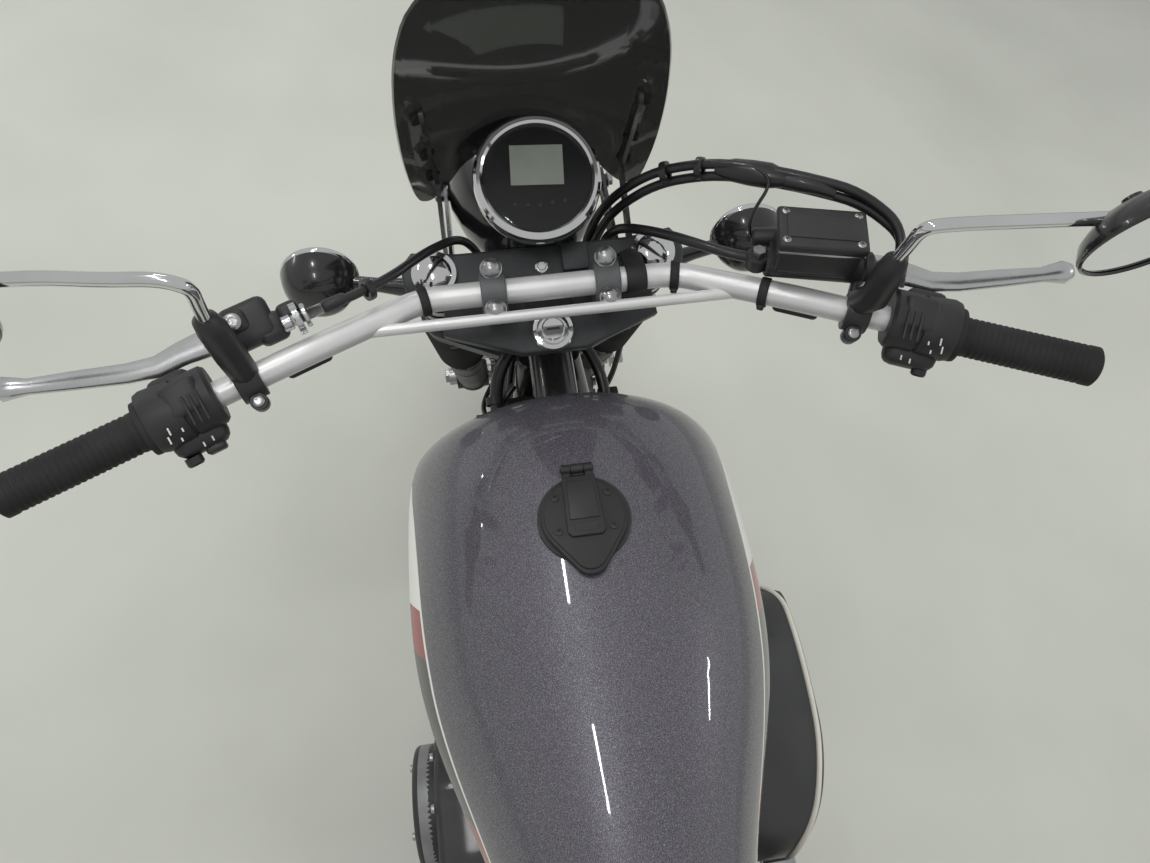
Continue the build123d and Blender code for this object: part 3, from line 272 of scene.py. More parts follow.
def fluted():
    """Lens glass whose flutes run up and down."""
    finish = Finish("fluted_glass", 0.06, coat=1.0)
    finish.shader.inputs["Base Color"].default_value = (0.88, 0.9, 0.92, 1.0)
    finish.shader.inputs["Alpha"].default_value = 0.3
    _, y, z = finish.places()
    across = finish.math("SINE", finish.math("MULTIPLY", y, 0.9))
    level = finish.math("SINE", finish.math("MULTIPLY", z, 0.22))
    return finish.bump(finish.math("ADD", across, finish.math("MULTIPLY", level, 0.4)), 0.8).material


fluted_glass = fluted()


TANK_REAR, TANK_LONG = 640.0, 510.0
LINE_LOW, LINE_RISE = 790.0, 60.0
# The pale line's height along the tank, both as shares
LINE = [(0.0, 0.08), (0.196, 0.3), (0.353, 0.467), (0.47, 0.583), (0.569, 0.667), (0.676, 0.667),
        (0.765, 0.6), (0.884, 0.367), (1.0, 0.08)]


def painted_tank():
    """Graphite flake over pale side panels with red, edged by a thin pale line, all under clear lacquer."""
    finish = Finish("tank_paint", 0.4, coat=1.0)
    x, _, z = finish.places()
    graphite = finish.ramp(
        finish.noise(0.7, 2.0),
        [(0.33, (0.053, 0.05, 0.059)), (0.52, (0.11, 0.103, 0.125)), (0.72, (0.29, 0.275, 0.32))],
    )
    curve = finish.add("ShaderNodeFloatCurve")
    finish.link(finish.share(x, TANK_REAR, TANK_LONG), curve.inputs["Value"])
    points = curve.mapping.curves[0].points
    while len(points) < len(LINE):
        points.new(0.5, 0.5)
    for point, at in zip(points, LINE):
        point.location = at
    curve.mapping.update()
    edge = finish.math("ADD", finish.math("MULTIPLY", curve.outputs[0], LINE_RISE), LINE_LOW)
    above = finish.math("SUBTRACT", z, edge)
    slanted = finish.math("ADD", x, finish.math("MULTIPLY", above, 0.8))
    dark, red, pale = (0.02, 0.02, 0.022), (0.26, 0.008, 0.014), (0.78, 0.77, 0.74)
    bands = finish.ramp(
        finish.share(slanted, TANK_REAR, TANK_LONG),
        [(0.0, dark), (0.118, red), (0.294, dark), (0.551, red), (0.639, pale)],
    )
    bands.node.color_ramp.interpolation = "CONSTANT"
    on_panel = finish.math("LESS_THAN", above, 0.0)
    near_line, behind_head = finish.math("COMPARE", above, 1.0, 1.6), finish.math("LESS_THAN", x, 1100.0)
    pinstripe = finish.math("MULTIPLY", near_line, behind_head)
    flake = finish.math("SUBTRACT", 1.0, finish.math("MAXIMUM", pinstripe, on_panel))
    shade = finish.mix(pinstripe, finish.mix(on_panel, graphite, bands), pale)
    return finish.paint(shade, finish.math("MULTIPLY", flake, 0.5)).smudge(0.03, 90.0).material


tank_paint = painted_tank()
nipple_steel = metal("nipple_steel", (0.5, 0.5, 0.51), (0.62, 0.62, 0.63), 0.28, 0.06, 20.0, 0.5, 0.02)
spring_black = coated("spring_black", (0.015, 0.015, 0.016), (0.025, 0.025, 0.026), 0.3, 0.5, 0.05, 3.0, 0.01)
plate_cream = coated("plate_cream", (0.6, 0.59, 0.55), (0.68, 0.67, 0.63), 0.32, 0.5, 0.05, 4.0, 0.01, 90.0)
cap_black = coated("cap_black", (0.016, 0.016, 0.017), (0.026, 0.026, 0.027), 0.5, 0.0, 0.05, 0.35, 0.08)


def rubber_of_tyres():
    """Tyre rubber, scuffed grey on the blocks' faces."""
    finish = Finish("tyre_rubber", 0.72).smudge(0.08, 30.0)
    scuffs = [(0.3, (0.016, 0.016, 0.016)), (0.62, (0.03, 0.03, 0.029)), (0.8, (0.07, 0.068, 0.063))]
    finish.paint(finish.ramp(finish.noise(14.0, 6.0), scuffs))
    return finish.bump(finish.noise(1.1, 4.0), 0.25).material


tyre_rubber = rubber_of_tyres()


def wheel_finish(name, centre, rim_low, hub_high):
    """Black rim and hub, and plain steel spokes, told apart by their distance from the axle."""
    finish = Finish(name, 0.3, coat=0.3).smudge(0.06, 30.0)
    reach = finish.reach(centre)
    rim = finish.cloud((0.013, 0.013, 0.014), (0.025, 0.025, 0.026), 25.0)
    spoke = finish.cloud((0.5, 0.5, 0.51), (0.63, 0.63, 0.64), 25.0)
    on_rim = finish.math("GREATER_THAN", reach, rim_low)
    black = finish.math("MAXIMUM", on_rim, finish.math("LESS_THAN", reach, hub_high))
    bare = finish.math("SUBTRACT", 1.0, finish.math("MULTIPLY", black, 0.85))
    finish.paint(finish.mix(black, spoke, rim), bare)
    return finish.bump(finish.noise(1.0), 0.02).material


front_wheel_finish = wheel_finish("front_wheel_finish", FRONT_AXLE, 225.0, 50.0)
rear_wheel_finish = wheel_finish("rear_wheel_finish", REAR_AXLE, 200.0, 62.0)


def ringed_steel(name, centre):
    """Brake steel, ground in rings about the axle, with the swept band brighter than the carrier."""
    finish = Finish(name, 0.3, 1.0).smudge(0.07, 25.0)
    reach = finish.reach(centre)
    grooves = finish.add("ShaderNodeTexNoise", noise_dimensions="1D")
    grooves.inputs["Scale"].default_value = 1.7
    grooves.inputs["Detail"].default_value = 3.0
    finish.link(reach, grooves.inputs["W"])
    band = finish.ramp(grooves.outputs["Fac"], [(0.3, (0.5, 0.5, 0.5)), (0.7, (0.68, 0.68, 0.68))])
    carrier = finish.cloud((0.02, 0.02, 0.021), (0.04, 0.04, 0.041), 20.0, 3.0)
    finish.paint(finish.mix(finish.math("GREATER_THAN", reach, 115.0), carrier, band))
    return finish.bump(grooves.outputs["Fac"], 0.05).material


front_disc_steel = ringed_steel("front_disc_steel", FRONT_AXLE)
rear_disc_steel = ringed_steel("rear_disc_steel", REAR_AXLE)


def finned():
    """Black cylinders whose fin edges are machined bright."""
    finish = Finish("finned_black", 0.42).smudge(0.06, 25.0)
    x, y, z = finish.places()
    ahead_of = finish.math("ABSOLUTE", finish.math("SUBTRACT", x, CRANK.x))
    height = finish.math("SUBTRACT", z, CRANK.z)
    half_turn = math.radians(CYLINDER_LEAN)
    along, over = math.sin(half_turn), math.cos(half_turn)
    turned = []
    for x_share, z_share in ((over, -along), (along, over)):
        level, rise = finish.math("MULTIPLY", ahead_of, x_share), finish.math("MULTIPLY", height, z_share)
        turned.append(finish.math("ADD", level, rise))
    edge = finish.math("GREATER_THAN", finish.math("ABSOLUTE", turned[0]), 75.3)
    edge = finish.math("MAXIMUM", edge, finish.math("GREATER_THAN", finish.math("ABSOLUTE", y), 83.3))
    edge = finish.math("MULTIPLY", edge, finish.math("LESS_THAN", turned[1], 312.0))
    black = finish.cloud((0.016, 0.016, 0.017), (0.03, 0.03, 0.031), 30.0, 5.0)
    bright = finish.cloud((0.5, 0.5, 0.51), (0.66, 0.66, 0.67), 9.0, 3.0)
    finish.paint(finish.mix(edge, black, bright), finish.math("MULTIPLY", edge, 0.9))
    return finish.bump(finish.noise(1.1, 4.0), 0.12).material


finned_black = finned()


def heated_steel():
    """Pipe steel, straw and blue near the cylinder heads and plain further down."""
    finish = Finish("pipe_steel", 0.24, 1.0).smudge(0.07, 40.0)
    _, _, z = finish.places()
    drift = finish.math("MULTIPLY", finish.math("SUBTRACT", finish.noise(60.0, 4.0), 0.5), 0.25)
    shades = [(0.0, (0.5, 0.49, 0.48)), (0.55, (0.54, 0.5, 0.45)), (0.75, (0.5, 0.38, 0.24)),
              (0.88, (0.3, 0.26, 0.33)), (1.0, (0.42, 0.36, 0.3))]
    finish.paint(finish.ramp(finish.math("ADD", finish.share(z, 240.0, 400.0), drift), shades))
    return finish.bump(finish.noise(0.6, 2.0, (6, 1, 1)), 0.02).material


pipe_steel = heated_steel()


def leather():
    """Dark brown grained cover, a little paler where it is sat on."""
    finish = Finish("seat_cover", 0.55).smudge(0.1, 60.0)
    cells = finish.add("ShaderNodeTexVoronoi", feature="DISTANCE_TO_EDGE")
    cells.inputs["Scale"].default_value = 0.42
    finish.link(finish.place, cells.inputs["Vector"])
    worn = [(0.3, (0.018, 0.014, 0.012)), (0.55, (0.03, 0.022, 0.018)), (0.8, (0.052, 0.038, 0.03))]
    finish.paint(finish.ramp(finish.noise(110.0, 4.0), worn))
    return finish.bump(cells.outputs["Distance"], 0.5, 0.6).bump(finish.noise(8.0), 0.4, 0.5).material


seat_cover = leather()
seat_piping = coated("seat_piping", (0.02, 0.016, 0.014), (0.035, 0.027, 0.022), 0.5, 0.0, 0.08, 0.7, 0.1)


def belt_rubber():
    """Belt rubber, its inner face toothed and its edges dusty."""
    finish = Finish("belt_rubber", 0.58).smudge(0.08, 20.0)
    x, _, _ = finish.places()
    dust = [(0.3, (0.014, 0.014, 0.014)), (0.75, (0.04, 0.039, 0.037))]
    finish.paint(finish.ramp(finish.noise(18.0, 5.0), dust))
    wave = finish.math("SINE", finish.math("MULTIPLY", x, 0.62))
    return finish.bump(wave, 0.5).bump(finish.noise(0.9), 0.06).material


toothed_rubber = belt_rubber()
floor_paint = coated(
    "floor_paint", (0.55, 0.565, 0.51), (0.63, 0.645, 0.585), 0.6, 0.0, 0.06, 6.0, 0.1, 700.0
)


# Camera, floor and light


CAMERA_PLACE = Vector((707.557, 52.081, 1518.069))
CAMERA_YAW, CAMERA_DIP, CAMERA_ROLL = (math.radians(angle) for angle in (-8.72, 58.28, 0.55))
FLOOR_HALF = 14.0
# Tubes and soft lamps: place, size, power and aim, in metres and watts
TUBES = (
    ((-0.38, 0.63, 2.6), (0.42, 0.045), 4.0, (-0.38, 0.63, 0.0)),
    ((0.65, 0.68, 2.6), (0.3, 0.045), 3.0, (0.65, 0.68, 0.0)),
    ((2.44, 0.55, 2.6), (0.04, 0.5), 3.5, (2.44, 0.55, 0.0)),
    ((-0.05, -3.0, 2.42), (0.5, 0.05), 4.0, (-0.05, 0.0, 0.9)),
    ((2.3, 3.0, 1.8), (1.0, 0.05), 6.0, (2.3, 0.0, 0.9)),
)
MACHINE_MIDDLE = (0.8, 0.0, 0.6)
SOFT_LAMPS = (
    ((0.6, 0.3, 4.6), (3.2, 3.2), 62.0, MACHINE_MIDDLE),
    ((4.2, 1.4, 2.4), (2.4, 2.0), 26.0, MACHINE_MIDDLE),
    ((-0.8, 3.6, 2.2), (2.4, 1.8), 26.0, MACHINE_MIDDLE),
    ((0.2, -3.6, 2.2), (2.4, 1.8), 26.0, MACHINE_MIDDLE),
)
SURROUND_LIGHT, SURROUND_SEEN = 0.42, 0.5


def add_camera():
    """The photographer stands over the seat and looks down at the bars."""
    data = bpy.data.cameras.new("camera")
    data.lens = 25.979
    data.sensor_width = 36.0
    data.clip_start = 0.02
    heading = Vector((math.cos(CAMERA_YAW), math.sin(CAMERA_YAW), 0.0))
    look = heading * math.cos(CAMERA_DIP) - Vector((0.0, 0.0, math.sin(CAMERA_DIP)))
    upright = heading * math.sin(CAMERA_DIP) + Vector((0.0, 0.0, math.cos(CAMERA_DIP)))
    sideways = look.cross(upright)
    right = sideways * math.cos(CAMERA_ROLL) + upright * math.sin(CAMERA_ROLL)
    top = upright * math.cos(CAMERA_ROLL) - sideways * math.sin(CAMERA_ROLL)
    turn = Matrix((right, top, -look)).transposed().to_4x4()
    camera = bpy.data.objects.new("camera", data)
    bpy.context.collection.objects.link(camera)
    camera.matrix_world = Matrix.Translation(BIKE @ CAMERA_PLACE) @ Matrix.Rotation(-LEAN, 4, "X") @ turn
    bpy.context.scene.camera = camera


def add_lamp(name, place, size, power, aim, in_gloss):
    """A rectangular lamp; only the tubes show in glossy surfaces."""
    data = bpy.data.lights.new(name, "AREA")
    data.shape = "RECTANGLE"
    data.size, data.size_y = size
    data.energy = power
    lamp = bpy.data.objects.new(name, data)
    bpy.context.collection.objects.link(lamp)
    lamp.location = place
    lamp.rotation_euler = (Vector(aim) - Vector(place)).to_track_quat("-Z", "Y").to_euler()
    lamp.visible_glossy = in_gloss


def add_surround():
    """An even pale world, a little brighter where it is seen or mirrored than where it lights."""
    world = bpy.data.worlds.new("surround")
    world.use_nodes = True
    bpy.context.scene.world = world
    tree = world.node_tree
    path = tree.nodes.new("ShaderNodeLightPath")
    seen = path.outputs["Is Camera Ray"]
    for ray in ("Is Glossy Ray", "Is Transmission Ray"):
        either = tree.nodes.new("ShaderNodeMath")
        either.operation = "MAXIMUM"
        tree.links.new(seen, either.inputs[0])
        tree.links.new(path.outputs[ray], either.inputs[1])
        seen = either.outputs[0]
    level = tree.nodes.new("ShaderNodeMapRange")
    level.inputs["To Min"].default_value = SURROUND_LIGHT
    level.inputs["To Max"].default_value = SURROUND_SEEN
    tree.links.new(seen, level.inputs["Value"])
    background = tree.nodes["Background"]
    background.inputs["Color"].default_value = (0.92, 0.93, 0.92, 1.0)
    tree.links.new(level.outputs["Result"], background.inputs["Strength"])


def add_studio():
    """A pale floor under long tubes and soft lamps."""
    bm = bmesh.new()
    bmesh.ops.create_grid(bm, x_segments=1, y_segments=1, size=FLOOR_HALF)
    mesh = bpy.data.meshes.new("floor")
    bm.to_mesh(mesh)
    floor = bpy.data.objects.new("floor", mesh)
    bpy.context.collection.objects.link(floor)
    mesh.materials.append(floor_paint)
    for kind, lamps in (("tube", TUBES), ("soft", SOFT_LAMPS)):
        for number, lamp in enumerate(lamps):
            add_lamp(f"{kind}_{number}", *lamp, kind == "tube")
    add_surround()
    bpy.context.scene.view_settings.view_transform = "Standard"


add_camera()
add_studio()

# The finish of each CAD node
FINISH_OF = {
    gloss_black: "headlight_bowl horn front_signals rear_signals mirror_heads rear_fender front_fender",
    satin_black: "rear_pulley fork_sliders lever_perches silencer",
    chrome: "fork_tubes mirror_stems gauge",
    steel: "front_axle rear_axle foot_levers",
    bright_alloy: "hand_levers",
    bar_silver: "handlebar",
    clamp_grey: "upper_clamp lower_clamp bar_clamps",
    rubber: "fork_gaiters grips foot_pegs",
    moulded: "switchgear battery_box plate_bracket cap_ring cap_lid",
    cable_sleeve: "bar_cables",
    engine_black: "engine_case engine_covers",
    cast_alloy: "front_caliper rear_caliper intake",
    air_cover_grey: "air_cleaner side_plates",
    frame_black: "frame_spine frame_cradles seat_rails rack_bosses swingarm shocks front_brackets side_stand",
    tank_paint: "fuel_tank",
    tyre_rubber: "front_tyre rear_tyre",
    toothed_rubber: "drive_belt",
    seat_cover: "seat",
    front_wheel_finish: "front_wire_wheel",
    rear_wheel_finish: "rear_wire_wheel",
    front_disc_steel: "front_disc",
    rear_disc_steel: "rear_disc",
    finned_black: "cylinders",
    pipe_steel: "exhaust_pipes",
    lamp_glass: "headlight_lens",
    screen_smoke: "fly_screen",
    red_glass: "tail_light",
}
for material, names in FINISH_OF.items():
    for node in names.split():
        for slot in frame["nodes"][node].material_slots:
            slot.material = material


# Drawing


def arc(centre, radius, start, end, steps):
    """Points of an arc in the (x, y) plane, by degrees."""
    turns = [math.radians(start + (end - start) * i / steps) for i in range(steps + 1)]
    return [(centre[0] + radius * math.cos(turn), centre[1] + radius * math.sin(turn)) for turn in turns]


def circle_of(count, radius, start=0.0):
    """Spots spaced evenly round a circle, from a start in degrees."""
    turns = [math.radians(start + 360.0 * i / count) for i in range(count)]
    return [(radius * math.cos(turn), radius * math.sin(turn)) for turn in turns]


def each_once(parts):
    """The parts in the order they are met, none of them twice."""
    return list(dict.fromkeys(parts))


def tagged(bm):
    """What is drawn so far, so that the next shape can be placed by itself."""
    return set(bm.verts), set(bm.faces)


def place_new(bm, mark, place, slot):
    """Moves what was drawn since the mark to its place, and gives it its material slot."""
    bmesh.ops.transform(bm, matrix=place, verts=[vert for vert in bm.verts if vert not in mark[0]])
    for face in bm.faces:
        if face not in mark[1]:
            face.material_index = slot


def spun(bm, outline, steps=48, place=Matrix(), slot=0, closed=False):
    """Turns an outline of (radius, height) about Z."""
    mark = tagged(bm)
    made = [bm.verts.new((radius, 0.0, height)) for radius, height in outline]
    pairs = list(zip(made, made[1:]))
    if closed:
        pairs.append((made[-1], made[0]))
    edges = [bm.edges.new(pair) for pair in pairs]
    bmesh.ops.spin(
        bm, geom=made + edges, cent=(0, 0, 0), axis=(0, 0, 1), angle=math.tau, steps=steps, use_merge=True,
    )
    place_new(bm, mark, place, slot)


def round_edges(bm, edges, offset, segments):
    """Rounds edges off, never further than the shape lets it."""
    bmesh.ops.bevel(
        bm, geom=edges, offset=offset, segments=segments, affect="EDGES", profile=0.5, material=-1,
        clamp_overlap=True,
    )


def block(bm, size, centre=(0, 0, 0), bevel=1.0, segments=2, place=Matrix(), slot=0):
    """A box with rounded edges."""
    mark = tagged(bm)
    made = bmesh.ops.create_cube(bm, size=1.0)["verts"]
    bmesh.ops.transform(bm, matrix=Matrix.Translation(centre) @ Matrix.Diagonal((*size, 1.0)), verts=made)
    if bevel:
        round_edges(bm, each_once(edge for vert in made for edge in vert.link_edges), bevel, segments)
    place_new(bm, mark, place, slot)


def slab(bm, outline, low, high, bevel=1.0, segments=2, place=Matrix(), slot=0):
    """A flat shape of the given (x, y) outline, raised from low to high, its rims rounded."""
    mark = tagged(bm)
    face = bm.faces.new([bm.verts.new((x, y, low)) for x, y in outline])
    raised = bmesh.ops.extrude_face_region(bm, geom=[face])["geom"]
    top = [part for part in raised if isinstance(part, bmesh.types.BMVert)]
    bmesh.ops.translate(bm, verts=top, vec=(0, 0, high - low))
    if bevel:
        rims = [edge for vert in top for edge in vert.link_edges if edge.other_vert(vert) in top]
        rims += list(face.edges) if face.is_valid else []
        round_edges(bm, each_once(rims), bevel, segments)
    place_new(bm, mark, place, slot)


def facing(centre, axis=(0, 0, 1)):
    """A place whose Z looks along an axis."""
    return Matrix.Translation(centre) @ Vector(axis).to_track_quat("Z", "Y").to_matrix().to_4x4()


def hex_bolt(bm, place, radius, height, slot=0):
    """A hexagon head on its flange."""
    wide, top_wide, flange = radius * 1.35, radius * 1.2, 1.0
    spun(bm, [(0, 0), (wide, 0), (wide, 0.6), (top_wide, flange), (0, flange)], 20, place, slot)
    mark = tagged(bm)
    made = bmesh.ops.create_cone(
        bm, cap_ends=True, segments=6, radius1=radius, radius2=radius, depth=height,
    )["verts"]
    middle = flange + height / 2
    bmesh.ops.translate(bm, verts=made, vec=(0, 0, middle))
    edges = each_once(edge for vert in made for edge in vert.link_edges)
    top = [edge for edge in edges if all(vert.co.z > middle for vert in edge.verts)]
    bmesh.ops.bevel(bm, geom=top, offset=radius * 0.12, segments=1, affect="EDGES", profile=0.5, material=-1)
    place_new(bm, mark, place, slot)


def socket_bolt(bm, place, radius, height, slot=0):
    """A round head with a socket sunk in it."""
    hollow = radius * 0.5
    rim = [(0, height * 0.4), (hollow, height * 0.4), (hollow, height), (radius * 0.8, height)]
    spun(bm, rim + [(radius, height * 0.75), (radius, 0)], 20, place, slot)


def screw(bm, place, radius, slot=0):
    """A low screw head, its cross slot two flat dark bars laid on it: painted shade in place of a sunk recess.
    """
    head = [(0, radius * 0.45), (radius * 0.6, radius * 0.4), (radius, radius * 0.1), (radius, 0)]
    spun(bm, head, 18, place, slot)
    # The cross is two thin flat bars in the next slot's black finish, painted shade standing in for the recess
    # of the slot.
    for turn in (0, 90):
        bar = place @ Matrix.Rotation(math.radians(turn + 20), 4, "Z")
        block(bm, (radius * 1.1, radius * 0.22, radius * 0.1), (0, 0, radius * 0.44), 0, 1, bar, slot + 1)


def piece(name, bm, materials, body, place=BIKE, instead=(), sharp=38.0):
    """Sets a finished drawing in its place on the machine."""
    bmesh.ops.remove_doubles(bm, verts=bm.verts, dist=0.02)
    bmesh.ops.recalc_face_normals(bm, faces=bm.faces)
    bm.transform(place)
    mesh = bpy.data.meshes.new(name)
    bm.to_mesh(mesh)
    bm.free()
    mesh.shade_smooth()
    mesh.set_sharp_from_angle(angle=math.radians(sharp))
    for material in materials:
        mesh.materials.append(material)
    made = bpy.data.objects.new(name, mesh)
    bpy.context.collection.objects.link(made)
    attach(made, body)
    if instead:
        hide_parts(*instead)


def line(name, points, radius, material, body, place=BIKE):
    """A round cable, hose or bent rod, smooth between its points."""
    data = bpy.data.curves.new(name, "CURVE")
    data.dimensions = "3D"
    data.bevel_depth = radius / 1000.0
    data.bevel_resolution = 4
    data.use_fill_caps = True
    data.resolution_u = 8
    spline = data.splines.new("NURBS")
    spline.points.add(len(points) - 1)
    for point, at in zip(spline.points, points):
        point.co = (*(place @ Vector(at)), 1.0)
    spline.order_u = 3
    spline.use_endpoint_u = True
    data.materials.append(material)
    made = bpy.data.objects.new(name, data)
    bpy.context.collection.objects.link(made)
    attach(made, body)


def mirrored(points):
    """The same points on the other side of the machine."""
    return [(x, -y, z) for x, y, z in points]


def lofted(bm, points, sizes, sides=14, place=Matrix()):
    """Bridges ovals through points; each has its half width, lying level, and its half height."""
    mark = tagged(bm)
    rings = []
    for i, (centre, (wide, high)) in enumerate(zip(points, sizes)):
        before, after = points[max(i - 1, 0)], points[min(i + 1, len(points) - 1)]
        along = (Vector(after) - Vector(before)).normalized()
        side = along.cross(Vector((0, 0, 1)))
        side = side.normalized() if side.length > 1e-4 else Vector((0, 1, 0))
        turn = Matrix((side * wide, side.cross(along) * high, along)).transposed().to_4x4()
        made = bmesh.ops.create_circle(bm, segments=sides, radius=1.0)["verts"]
        bmesh.ops.transform(bm, matrix=Matrix.Translation(centre) @ turn, verts=made)
        rings.append(each_once(edge for vert in made for edge in vert.link_edges))
    for first, second in zip(rings, rings[1:]):
        bmesh.ops.bridge_loops(bm, edges=first + second)
    for ring in (rings[0], rings[-1]):
        bmesh.ops.contextual_create(bm, geom=ring)
    place_new(bm, mark, place, 0)


# Handlebar controls, in the steering frame

GRIP_START = 329.0
BAR = [Vector((12, 112, 733)), Vector((-28, 205, 767)), Vector((-120, 436, 805))]


def on_bar(y, side=1):
    """A frame on the bar: Z outward along it, X ahead."""
    first, second = BAR[:2] if y < BAR[1].y else BAR[1:]
    run = (second - first).normalized()
    here = first + (second - first) * ((y - first.y) / (second.y - first.y))
    ahead_way = (Vector((1, 0, 0)) - run * run.x).normalized()
    turn = Matrix((ahead_way, run.cross(ahead_way), run)).transposed().to_4x4()
    return (Matrix() if side > 0 else ACROSS) @ Matrix.Translation(here) @ turn


def dress_clamps():
    """The textured upper clamp with its caps, lock, bar clamps, and the ties round the bar."""
    bm = bmesh.new()
    half = [(60, 0), (61, 80)] + arc((FORK_OFFSET, FORK_HALF), 30, 40, 190, 10) + [(-14, 100), (-39, 30)]
    outline = half + [(e, -y) for e, y in reversed(half[1:])]
    slab(bm, outline, 676, 696, 3.0, 3)
    block(bm, (26, 25, 7), (46, -28.5, 699), 2)
    piece("clamp_plate", bm, [clamp_grey], "steering", STEER, ["upper_clamp"])
    bm = bmesh.new()
    for side in (-1, 1):
        cap = Matrix.Translation((FORK_OFFSET, side * FORK_HALF, 695))
        spun(bm, [(0, 11.5), (6, 11.1), (11.5, 9.8), (16, 7.2), (19.2, 3.4), (20.4, 0), (20.4, -2)], 48, cap)
    lock = Matrix.Translation((-20, 0, 696))
    spun(bm, [(20, 0), (20, 4), (18.5, 6.5), (15, 7), (13, 5), (13, 3)], 44, lock)
    spun(bm, [(0, 9), (9.5, 9), (10.5, 8), (11, 3), (13, 3)], 40, lock)
    # The lock's key slot is a thin flat dark strip on the chrome barrel: painted shade standing in for the
    # slot's recess.
    block(bm, (2.2, 12, 0.8), (-20, 0, 705), 0.2, 1, Matrix(), 1)
    hex_bolt(bm, facing((40, 3, 696)), 4.6, 3.4)
    spun(bm, [(0, 3), (23, 3), (24, 0)], 40, Matrix.Translation((0, 0, 694)), 1)
    piece("clamp_brightwork", bm, [chrome, satin_black], "steering", STEER, sharp=30)
    bm = bmesh.new()
    for side in (-1, 1):
        y = side * 50
        block(bm, (44, 23, 26), (12, y, 709), 5, 3)
        spun(bm, [(0, -11), (17, -11), (18, -10), (18, 10), (17, 11), (0, 11)], 40,
             Matrix.Translation((12, y, 733)) @ RIGHTWARD)
        for e in (-6, 30):
            block(bm, (13, 20, 34), (e, y, 731), 4, 3)
            spun(bm, [(0, 8), (3, 7.8), (6, 6.4), (8, 3.6), (8.6, 0.6), (9.6, 0), (9.6, -3)], 28,
                 Matrix.Translation((e, y, 748)), 1)
    piece("bar_clamp_blocks", bm, [block_grey, steel], "steering", STEER, ["bar_clamps"], 32)
    bm = bmesh.new()
    ties = (
        ((10.2, 111.4, 734.5), (-0.19, 0.97, 0.16), 4),
        ((10.2, -111.4, 734.5), (-0.19, -0.97, 0.16), 4),
        ((-18.6, -182, 759), (-0.37, -0.87, 0.31), 4),
        ((12, -76, 733), (0, 1, 0), 9),
    )
    for centre, way, half in ties:
        place = facing(centre, way)
        flat = half - 0.6
        spun(bm, [(11, -half), (12.6, -half), (13, -flat), (13, flat), (12.6, half), (11, half)], 36, place)
        block(bm, (5, 6, 1.5 * half), (-13.5, 0, 0), 1, 1, place)
    strap = [(20, -76, 741), (32, -76, 731), (41, -75, 716), (44, -74, 702)]
    lofted(bm, strap, [(9, 2), (9, 2), (8, 2), (8, 2)], 8)
    piece("bar_ties", bm, [rubber], "steering", STEER)


def dress_grip(side):
    """A ribbed rubber grip with its flange and bar end."""
    bm = bmesh.new()
    outline = [(14, -1), (22.5, -1), (23, 1), (22.5, 4), (17, 5.5)]
    for i in range(20):
        z = 9 + i * 4.9
        outline += [(16.6, z), (16.6, z + 1.6), (16.0, z + 2.1), (16.0, z + 4.3)]
    outline += [(16.8, 108), (16.8, 115), (14, 117), (0, 117)]
    spun(bm, outline, 40)
    word = "left" if side > 0 else "right"
    place = STEER @ on_bar(GRIP_START, side)
    piece(f"{word}_grip", bm, [rubber], "steering", place, ["grips"] if side > 0 else [], 50)


def dress_switches(side):
    """A split switch housing with its buttons, their marks plain strokes."""
    word = "left" if side > 0 else "right"
    bm = bmesh.new()
    shell = [(22.5, 0), (25, 3), (25, 24), (23.5, 25), (23.5, 26.6), (25, 27.6), (26.5, 50), (25, 55),
             (22, 56)]
    base = Matrix.Translation((2, 0, -56)) @ Matrix.Diagonal((1.0, 0.94, 1.0, 1.0))
    spun(bm, [(0, 0)] + shell + [(0, 56)], 48, base)
    block(bm, (44, 26, 44), (-12, 12, -28), 9, 3)
    block(bm, (30, 14, 30), (6, -17, -34), 6, 3)
    block(bm, (24, 28, 34), (20, 8, -28), 7, 3)
    for z in (-45, -39.5, -34):
        block(bm, (25, 2.6, 2.2), (-6, -24.6, z), 1.0, 2)
    if side > 0:
        block(bm, (12, 8, 10), (-31, 18, -34), 2.5, 3, Matrix(), 1)
        spun(bm, [(0, 8), (5.6, 7.6), (7, 6), (7, 0)], 26, facing((-34, 10, -16), (-1, 0.2, 0)), 1)
        block(bm, (15, 10, 8), (-20, 27, -42), 2.5, 3, Matrix(), 1)
        block(bm, (8, 14, 16), (-35, 13, -35), 2.5, 3, Matrix(), 1)
        spun(bm, [(0, 4), (4, 4), (4.6, 3), (4.6, 0)], 20, facing((-24, 24, -22), (-0.4, 1, 0)), 1)
    else:
        block(bm, (18, 9, 12), (-22, 24, -36), 3, 3, Matrix(), 3)
        spun(bm, [(0, 7), (5, 6.6), (6.4, 5), (6.4, 0)], 26, facing((-32, 14, -16), (-1, 0.3, 0)), 1)
    strokes = ((-14, -23.6, -15, 6), (-20, -21.6, -12, 6), (-17, -22.8, -24, 3), (-23, -19.6, -20, 3),
               (-30, -5, -38, 4), (-31, -3, -30, 4))
    for x, y, z, long in strokes:
        block(bm, (long, 0.6, 1.2), (x, y - 0.3, z), 0, 1, Matrix(), 2)
    for x, z in ((-20, -8), (-6, -10)):
        socket_bolt(bm, facing((x, 25, z), (0, 1, 0)), 3, 2, 1)
    materials = [moulded, satin_black, mark_white, switch_red]
    place = STEER @ on_bar(GRIP_START, side)
    piece(f"{word}_switches", bm, materials, "steering", place, ["switchgear"] if side > 0 else [], 34)


def master_place():
    """The brake reservoir's place, level with the ground when the machine stands upright."""
    sweep = Matrix.Rotation(math.radians(14.0), 4, "Z")
    level = Matrix.Translation(on_bar(214).to_translation()) @ Matrix.Rotation(RAKE, 4, "Y") @ sweep
    return ACROSS @ level


